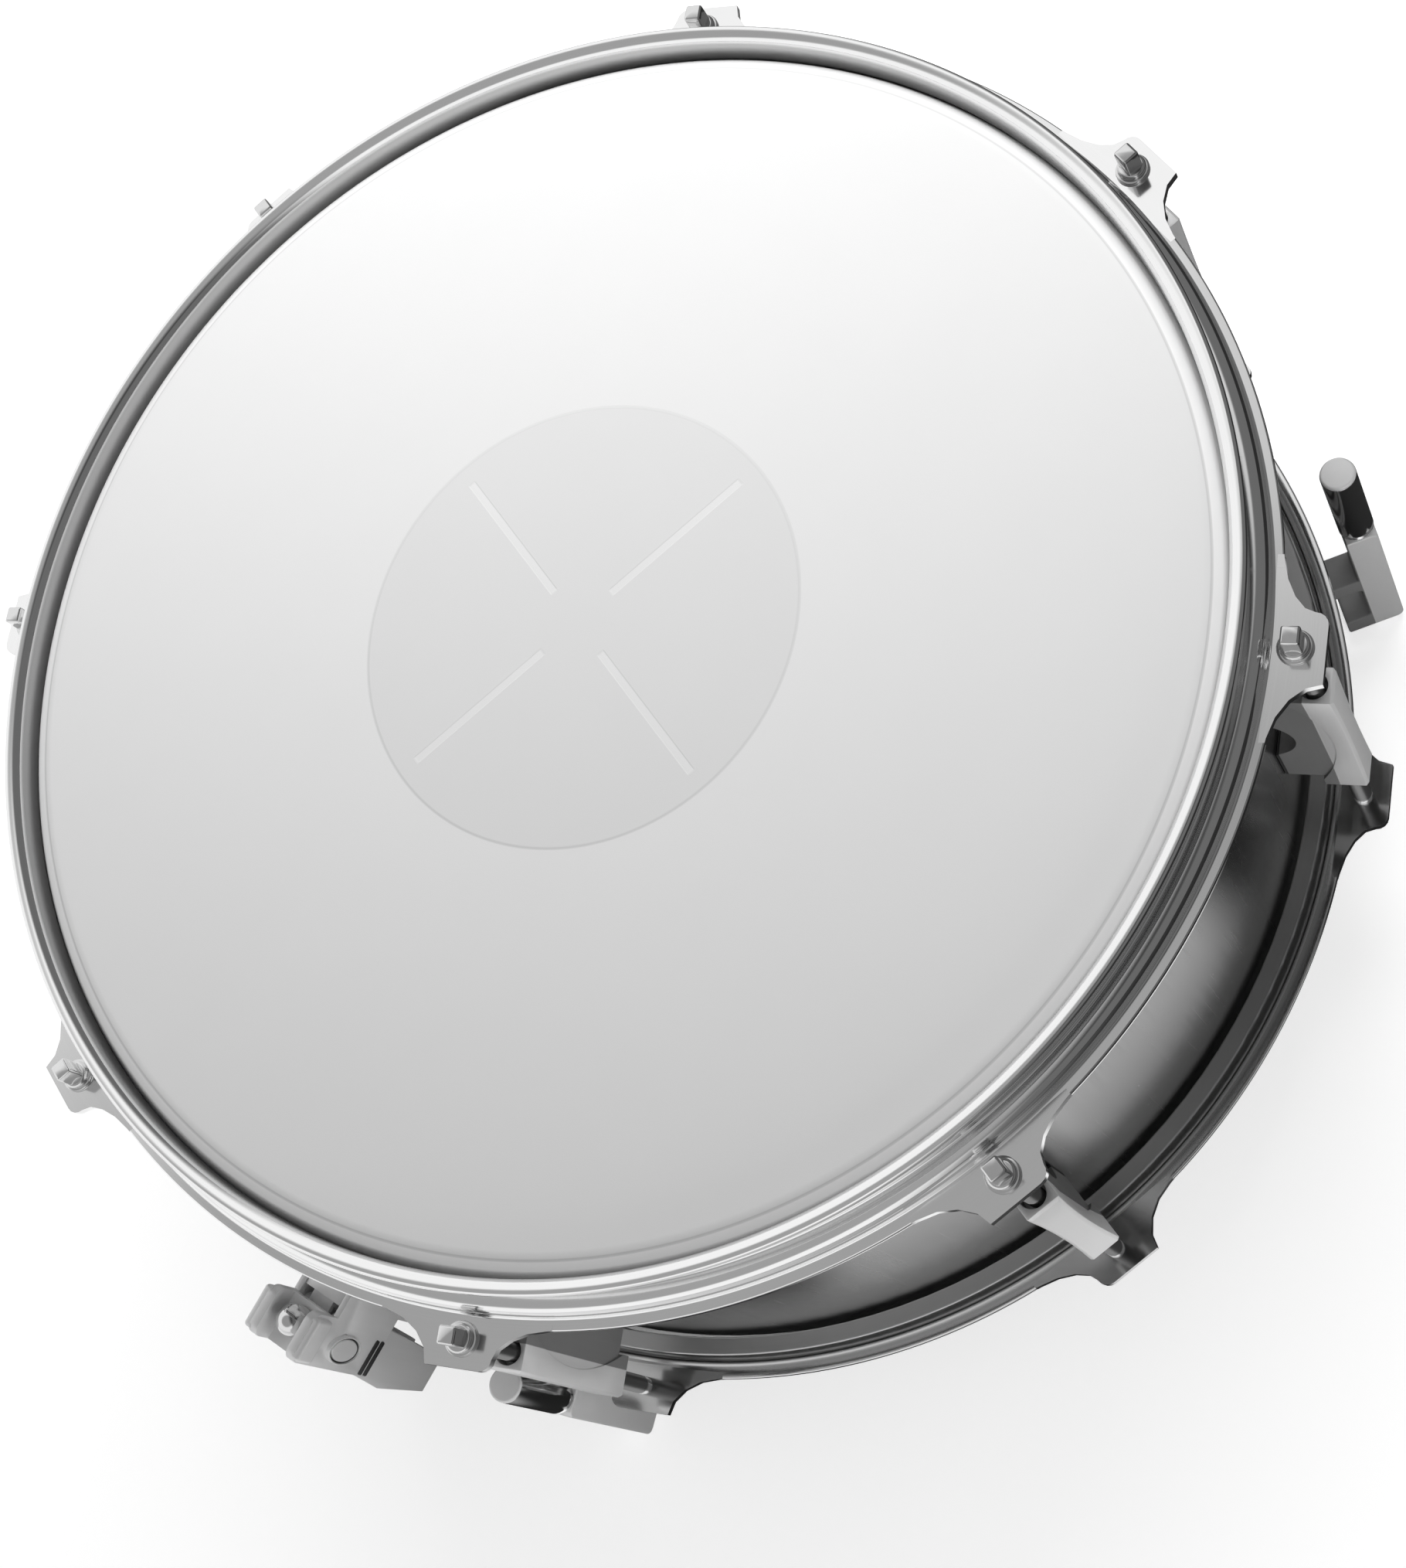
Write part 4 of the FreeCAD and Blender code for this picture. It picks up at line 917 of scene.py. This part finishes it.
@dataclass
class Rods(Assembly):
    """Sixteen key rods with threads, collars and square heads."""

    circle: float = 194.0
    ear_top: float = 60.3
    washer: float = 1.0
    washer_radius: float = 4.7
    collar: float = 1.6
    collar_radius: float = 4.0
    collar_rims: Pair = (0.4, 0.9)
    radius: float = 2.7
    root: float = 2.2
    pitch: float = 1.06
    length: float = 41.8
    tip: float = 0.5
    thread_steps: int = 14
    key_side: float = 5.0
    key_height: float = 6.5
    key_sink: float = 0.3
    key_corner: float = 0.7
    key_edge: float = 0.8
    bore_gap: float = 0.05

    def rod(self) -> Blank:
        """Turn one rod: thread, collar and chamfered key head."""
        blank = Blank()
        foot = self.ear_top + self.washer
        turns = int((self.length - 1) / self.pitch)
        low = foot - turns * self.pitch
        path = [(self.root if k % 2 else self.radius, low + k * self.pitch / 2, 0) for k in range(2 * turns)]
        verts, edges = blank.outline(path, closed=False)
        blank.move(verts, ORIGIN, 90.0, "X")
        blank.spin(verts + edges, math.tau, self.thread_steps, (0, 0, self.pitch / self.thread_steps))
        half = self.key_side / 2
        head = foot + self.collar
        end = bar(self.root, foot - self.length, low + self.pitch, self.tip)
        blank.lathe(end, self.thread_steps, closed=False)
        blank.lathe(bar(self.collar_radius, foot, head, *self.collar_rims), 32, closed=False)
        blank.plate(
            rectangle((-half, -half), (half, half), self.key_corner), head - self.key_sink,
            head + self.key_height, Plane.FLAT, self.key_edge, 3, lambda spot: spot.z < head)
        blank.move(blank.mesh.verts, (self.circle, 0, 0))
        return blank

    def washers(self) -> Blank:
        """Turn the washers of all the rods."""
        bore, wide = self.radius + self.bore_gap, self.washer_radius
        low, top = self.ear_top, self.ear_top + self.washer
        section = [(bore, low, 0.2), (wide, low, 0.25), (wide, top, 0.35), (bore, top, 0.2)]
        disc = Blank().lathe(section, 36, segments=2)
        disc.move(disc.mesh.verts, (self.circle, 0, 0))
        return disc.copies(Seat.rod(k, flipped).matrix() for flipped in (False, True) for k in range(RODS))

    def build(self, looks: Finishes) -> None:
        """Build the rods of both sides, each on its own body, and their washers."""
        for side, flipped in (("batter", False), ("snare_side", True)):
            for k in range(RODS):
                node = f"{side}_rod_{k + 1}"
                self.fit(self.rod(), f"{side}_key_rod_{k + 1}", looks.key, [node], node, Seat.rod(k, flipped))
        self.fit(self.washers(), "key_rod_washers", looks.plate, ["rod_washers"])


@dataclass
class Strainer(Assembly):
    """Throw-off strainer with its lever, carriage and tension knob."""

    seat: Seat = Seat(180.0)
    cheek: float = 9.0
    boss_at: Pair = (211.6, -4.6)
    boss_half: Pair = (4.6, 8.6)
    boss_rise: float = 1.25
    pin_at: Pair = (209.5, -2.0)
    pin_radius: float = 2.45
    ridge_ends: Pair = (204.0, 217.6)
    ridge_level: float = 14.2
    ridge_half: float = 4.1
    ridge_rise: float = 2.0
    ridge_corner: float = 1.2
    ridge_sink: float = 0.5
    ridge_round_share: float = 0.95
    # Dark strips of painted shadow on the cheeks.
    shadow_line_ends: Pair = (206.5, 218.0)
    shadow_line_levels: Pair = (-20.6, -23.6)
    shadow_line_half: float = 0.8
    shadow_line_rise: float = 0.7
    shadow_line_sink: float = 0.3
    shadow_line_edge: float = 0.5

    def pivot(self) -> Blank:
        """Turn the pivot pin and cap it with an oval boss on each cheek."""
        reach = self.cheek + self.boss_rise / 2
        blank = Blank().lathe(bar(self.pin_radius, -reach, reach), 28, closed=False)
        blank.move(blank.mesh.verts, (self.pin_at[0], 0, self.pin_at[1]), 90.0, "X")
        rise = self.boss_rise
        boss = Blank().lathe([
            (0, rise * 0.8, 0), (0.74, rise * 0.8, 0.05), (0.8, rise * 0.25, 0.03), (0.86, rise * 0.25, 0.03),
            (0.9, rise, 0.03), (0.97, rise, 0.05), (1.0, 0.02, 0), (0, 0.02, 0)], steps=56, closed=False, segments=3)
        for side in SIDES:
            blank.add(boss, self.oval(side))
        return blank

    def oval(self, side: int) -> Matrix:
        """Return the placement that lays a round boss as an oval on one cheek."""
        face = Matrix.Translation((self.boss_at[0], side * self.cheek, self.boss_at[1]))
        stretch = Matrix.Diagonal((self.boss_half[0], self.boss_half[1], 1, 1))
        return face @ Matrix.Rotation(-side * math.pi / 2, 4, "X") @ stretch

    def raise_on(self, blank: Blank, outline: list[Corner], sink: float, rise: float, edge: float,
                 segments: int) -> None:
        """Raise a plate on the cheek, and break only the edges that stand out of it."""
        blank.plate(
            outline, self.cheek - sink, self.cheek + rise, Plane.SIDE, edge, segments,
            lambda spot: spot.y < self.cheek)

    def ridge(self) -> Blank:
        """Shape the rounded ridge on each cheek."""
        (near, far), level = self.ridge_ends, self.ridge_level
        outline = rectangle((near, level - self.ridge_half), (far, level + self.ridge_half), self.ridge_corner)
        half = Blank()
        self.raise_on(half, outline, self.ridge_sink, self.ridge_rise, self.ridge_rise * self.ridge_round_share, 6)
        return half.copies(Matrix.Diagonal((1, side, 1, 1)) for side in SIDES)

    def lines(self) -> Blank:
        """Shape two dark strips of painted shadow on each cheek and a dark ring of painted shadow let into each
        boss.
        """
        rise = self.boss_rise
        ring = Blank().lathe([
            (0.79, rise * 0.2, 0), (0.87, rise * 0.2, 0), (0.87, rise * 0.6, 0.02), (0.79, rise * 0.6, 0.02)],
            56, segments=2)
        half = Blank()
        near, far = self.shadow_line_ends
        for level in self.shadow_line_levels:
            outline = rectangle((near, level - self.shadow_line_half), (far, level + self.shadow_line_half))
            self.raise_on(half, outline, self.shadow_line_sink, self.shadow_line_rise, self.shadow_line_edge, 3)
        both = Blank()
        for side in SIDES:
            both.add(half, Matrix.Diagonal((1, side, 1, 1)))
            both.add(ring, self.oval(side))
        return both

    def build(self, looks: Finishes) -> None:
        """Break the strainer's edges, and add its boss, ridge and the dark strips of painted shadow."""
        self.fit(self.pivot(), "strainer_pivot_boss", looks.satin, ["strainer_pivot_pin"], seat=self.seat)
        self.fit(self.ridge(), "strainer_cheek_ridge", looks.satin, [], seat=self.seat)
        # Dark strips and rings of painted shadow on the cheeks.
        self.fit(self.lines(), "strainer_cheek_lines", looks.shadow_paint, [], seat=self.seat)
        for node, name, width, body in (
                ("base", "housing", 0.5, "drum"), ("lever", "throw_lever", 0.6, "lever"),
                ("slide", "carriage", 0.4, "slide"), ("clamp", "clamp_bar", 0.3, "slide")):
            self.soften(f"strainer_{node}", f"strainer_{name}", looks.satin, width, body)
        self.soften("strainer_knob", "strainer_tension_knob", looks.plate, 0.3, "knob")
        self.dress(looks.plate, "strainer_crank_pin")
        self.dress(looks.screw, "strainer_clamp_screws")


@dataclass
class Butt(Assembly):
    """Butt block with its clamp."""

    def build(self, looks: Finishes) -> None:
        """Dress the butt."""
        self.soften("butt_block", "butt_housing", looks.satin, 0.5)
        self.soften("butt_clamp", "butt_clamp_bar", looks.satin, 0.3)
        self.dress(looks.screw, "butt_clamp_screws")


@dataclass
class Snares(Assembly):
    """Twenty coiled wires soldered to two end plates and pulled by straps."""

    count: int = 20
    pitch: float = 2.1
    half: float = 152.0
    level: float = -71.35
    coil_radius: float = 0.68
    strand: float = 0.22
    lead: float = 1.6
    coil_steps: int = 6
    strap_free: Pair = (-40.5, -62.0)
    strap_cuts: int = 12

    def strap(self) -> Blank:
        """Cut rings of edges across the free length of the strainer's strap."""
        blank = self.copy("strainer_strap")
        mesh = blank.mesh
        top, low = self.strap_free
        for k in range(self.strap_cuts):
            level = top + (low - top) * k / (self.strap_cuts - 1)
            bmesh.ops.bisect_plane(
                mesh, geom=[*mesh.verts, *mesh.edges, *mesh.faces], plane_co=(0, 0, level), plane_no=(0, 0, 1))
        return blank

    def wires(self) -> Blank:
        """Coil one strand and lay it side by side."""
        coil = Blank()
        turns = int(2 * self.half / self.lead)
        ring = bmesh.ops.create_circle(coil.mesh, cap_ends=False, radius=self.strand, segments=3)["verts"]
        coil.move(ring, (0, 0, self.coil_radius))
        coil.spin(
            ring + touching(ring, "link_edges"), math.tau * turns, self.coil_steps * turns,
            (self.lead / self.coil_steps, 0, 0), (1, 0, 0))
        offsets = ((k - (self.count - 1) / 2) * self.pitch for k in range(self.count))
        return coil.copies(Matrix.Translation((-self.half, offset, self.level)) for offset in offsets)

    def build(self, looks: Finishes) -> None:
        """Build the wires and dress their ends."""
        self.fit(self.wires(), "snare_wire_coils", looks.wire, ["snare_wires"], crease=80.0)
        self.dress(looks.plate, "snare_end_plates")
        self.fit(self.strap(), "strainer_pull_strap", looks.strap, ["strainer_strap"], "slide",
                 bend=("drum", *self.strap_free))
        self.dress(looks.strap, "butt_strap")


@dataclass
class Feet(Assembly):
    """Three cradle feet with their sleeves."""

    angles: Triple = (-44.0, 76.0, 196.0)
    inner: float = 197.8
    outer: float = 207.6
    half: float = 5.5
    top: float = -49.5
    jaw_in: float = 177.7
    jaw_top: float = -76.8
    jaw_low: float = -83.8
    toe_in: float = 189.8
    toe_top: float = -104.0
    floor: float = -112.0
    edge: float = 1.1
    sleeve_radius: float = 5.2
    sleeve_top: float = -13.2
    cap_depth: float = 1.0
    cap_round: float = 0.8
    cap_inset: float = 0.1
    groove: Range = (2.2, 1.7, 0.9, 0.4)
    groove_depth: float = 0.5

    def block(self) -> Blank:
        """Cut one foot with its jaw under the hoop and its toe on the floor."""
        blank = Blank()
        blank.plate([
            (self.inner, self.top, 0.8), (self.inner, self.jaw_top, 0.6), (self.jaw_in, self.jaw_top, 0.8),
            (self.jaw_in, self.jaw_low, 0.8), (self.inner, self.jaw_low, 1.6), (self.inner, self.toe_top, 1.6),
            (self.toe_in, self.toe_top, 1.2), (self.toe_in, self.floor, 0.8), (self.outer, self.floor, 2.4),
            (self.outer, self.top, 2.6)], -self.half, self.half, Plane.SIDE, self.edge, 3)
        return blank

    def sleeves(self) -> Blank:
        """Turn the sleeves that stand on the feet."""
        wide, low, top = self.sleeve_radius, self.top, self.sleeve_top - self.cap_depth
        neck = wide - self.groove_depth
        first, second, third, fourth = (low + rise for rise in self.groove)
        return self.standing([
            (0, top, 0), (wide, top, 0.15), (wide, first, 0.15), (neck, second, 0.1), (neck, third, 0.1),
            (wide, fourth, 0.1), (wide, low, 0.1), (0, low, 0)])

    def caps(self) -> Blank:
        """Turn the caps that close the sleeves."""
        top = self.sleeve_top
        return self.standing(bar(self.sleeve_radius - self.cap_inset, top, top - self.cap_depth, self.cap_round))

    def standing(self, corners: Sequence[Corner]) -> Blank:
        """Turn a profile round the sleeve's axis, once for each foot."""
        one = Blank().lathe(corners, 48, closed=False, segments=5)
        one.move(one.mesh.verts, ((self.inner + self.outer) / 2, 0, 0))
        return one.copies(Seat(angle).matrix() for angle in self.angles)

    def build(self, looks: Finishes) -> None:
        """Build the feet and their sleeves."""
        for k, angle in enumerate(self.angles, 1):
            self.fit(self.block(), f"cradle_foot_{k}", looks.foot, [f"foot_{k}"], seat=Seat(angle))
        self.fit(self.sleeves(), "turned_foot_sleeves", looks.sleeve, ["foot_sleeves"])
        self.fit(self.caps(), "foot_sleeve_caps", looks.cap, ["foot_sleeves"])


@dataclass(frozen=True)
class Floor(Finish):
    """Pale floor that is white to the camera and keeps a soft shadow, and that shows mirrors a painted shadow near
    the drum, a painted pool of light and a white painted brighter on one side.
    """

    middle: Triple = ORIGIN
    share: float = 0.6
    shaded: float = 0.245
    clear: float = 0.3
    dusk: float = 0.025
    bright_side: Pair = (-1.0, 1.4)
    pool_near: Pair = (0.203, 0.222)
    pool_far: Pair = (0.248, 0.236)
    pool_turn: float = 250.0
    pool_half: Pair = (25.0, 36.0)

    def shade(self, graph: Graph) -> Wire:
        """Mix lit paper with the white of the background, with shade and light painted in where only mirrors see
        them.
        """
        mirrored = graph.mirrored()
        x, y, _, radius = graph.about(self.middle)
        # Painted shade for mirrors: white only away from the drum, and brighter on one side.
        far = graph.ease(radius, self.shaded, self.clear)
        far = far * graph.ease((y - x) / (radius | MM), *self.bright_side)
        turn = math.radians(self.pool_turn)
        ahead = (x * math.cos(turn) + y * math.sin(turn)) / (radius | MM)
        full, none = (math.cos(math.radians(half)) for half in self.pool_half)
        # Painted pool of light that mirrors see in a ring before the drum.
        ring = graph.ease(radius, *self.pool_near) * graph.ease(radius, *self.pool_far)
        pool = ring * graph.ease(ahead, none, full)
        seen = (graph.ray("Camera") | mirrored * far) * self.share | mirrored * pool
        speck = graph.noise(graph.place(), 40.0, 3.0)
        paper = graph.mix(speck, grey(0.86), grey(0.88))
        # Painted shadow: the paper turns near-black to mirrors close to the drum.
        lit = graph.surface(Base_Color=graph.mix(mirrored * (1 - far), paper, grey(self.dusk)), Roughness=0.9)
        white = graph.node("ShaderNodeEmission", {}, {"Color": graph.mix(seen, grey(0.0), grey(1.0))})
        return graph.node("ShaderNodeAddShader", {}, {0: lit, 1: white})


@dataclass(frozen=True)
class Lamp:
    """A soft box round the drum that no metal shows, with its turn in degrees and its places in metres."""

    name: str
    angle: float
    reach: float
    height: float
    size: Pair
    power: float
    upward: bool = False

    def hang(self, middle: Vector) -> None:
        """Face the drum's middle from outside, or up from the floor."""
        data = bpy.data.lights.new(self.name, "AREA")
        data.shape = "RECTANGLE"
        data.size, data.size_y = self.size
        data.energy = self.power
        item = stand(self.name, data)
        turn = Matrix.Rotation(math.radians(self.angle), 3, "Z")
        out = Vector((self.reach, 0, self.height))
        back = Vector((0, 0, -1)) if self.upward else out.normalized()
        along = Vector((0, 1, 0))
        axes = Matrix((along, back.cross(along), back)).transposed()
        item.location = middle + turn @ out
        item.rotation_mode = "QUATERNION"
        item.rotation_quaternion = (turn @ axes).to_quaternion()
        item.visible_camera = item.visible_glossy = False


@dataclass
class Studio:
    """Floor, soft lamps and the camera at the photograph's angle."""

    middle: Vector
    spot: Triple = (-0.0854707, -0.3717167, 0.6437461)
    aim: Range = (0.832648, 0.236170, 0.083768, -0.493866)
    lens: float = 57.35
    room: Range = (0.15, 0.75, 0.05, 0.28)
    ceiling: Range = (0.74, 0.88, 1.0, 0.38)
    ceiling_lean: float = 0.3
    side: Range = (-0.5, 0.0, 0.15, 1.0)
    lamps: tuple[Lamp, ...] = (
        Lamp("key", 28.0, 0.36, 0.5, (0.8, 0.25), 3.6),
        Lamp("fill", 252.0, 1.0, 0.16, (0.8, 0.4), 3.0),
        Lamp("bounce", 262.0, 0.42, -0.104, (0.6, 0.3), 0.45, True))

    def camera(self) -> None:
        """Set the camera."""
        data = bpy.data.cameras.new("camera")
        data.sensor_width = 36.0
        data.lens = self.lens
        data.clip_start = 0.01
        eye = stand("camera", data)
        eye.rotation_mode = "QUATERNION"
        eye.location = self.middle + Vector(self.spot)
        eye.rotation_quaternion = Quaternion(self.aim)
        bpy.context.scene.camera = eye

    def world(self) -> None:
        """Light the room softly from above, and show white behind the object."""
        world = bpy.data.worlds.new("studio")
        bpy.context.scene.world = world
        world.use_nodes = True
        graph = Graph(world.node_tree)
        heading = graph.node("ShaderNodeTexCoord", output="Generated")
        east, north, rise = graph.parts(heading)
        seen, mirrored = graph.ray("Camera"), graph.mirrored()
        room = graph.ease(rise, *self.room)
        ceiling = graph.ease(rise - east * self.ceiling_lean, *self.ceiling)
        side = graph.ease(north - east, *self.side)
        strength = seen | (mirrored * ceiling * side | (1 - mirrored) * room)
        sky = graph.node("ShaderNodeBackground", {}, {"Color": grey(1.0), "Strength": strength})
        graph.node("ShaderNodeOutputWorld", {}, {"Surface": sky})

    def floor(self) -> None:
        """Lay the floor."""
        mesh = bmesh.new()
        bmesh.ops.create_grid(mesh, x_segments=2, y_segments=2, size=6.0)
        data = bpy.data.meshes.new("floor")
        mesh.to_mesh(data)
        mesh.free()
        data.materials.append(Floor("studio_floor", Slot.CHROME, tuple(self.middle)).material())
        item = stand("floor", data)

    def build(self) -> None:
        """Set the whole studio."""
        self.camera()
        self.floor()
        self.world()
        for lamp in self.lamps:
            lamp.hang(self.middle)
        bpy.context.scene.view_settings.view_transform = "Standard"


def main() -> None:
    """Build every sub-assembly and set the studio."""
    logging.basicConfig(level=logging.INFO, format="%(message)s")
    place = RowFrame.read()
    looks = Finishes(place.middle)
    for kind in (Shell, Head, Hoops, Lugs, Rods, Strainer, Butt, Snares, Feet):
        assembly = kind(place)
        assembly.build(looks)
        LOG.info("%s: %d pieces", kind.__name__, len(assembly.made))
    Studio(place.middle).build()


if __name__ == "__main__":
    main()
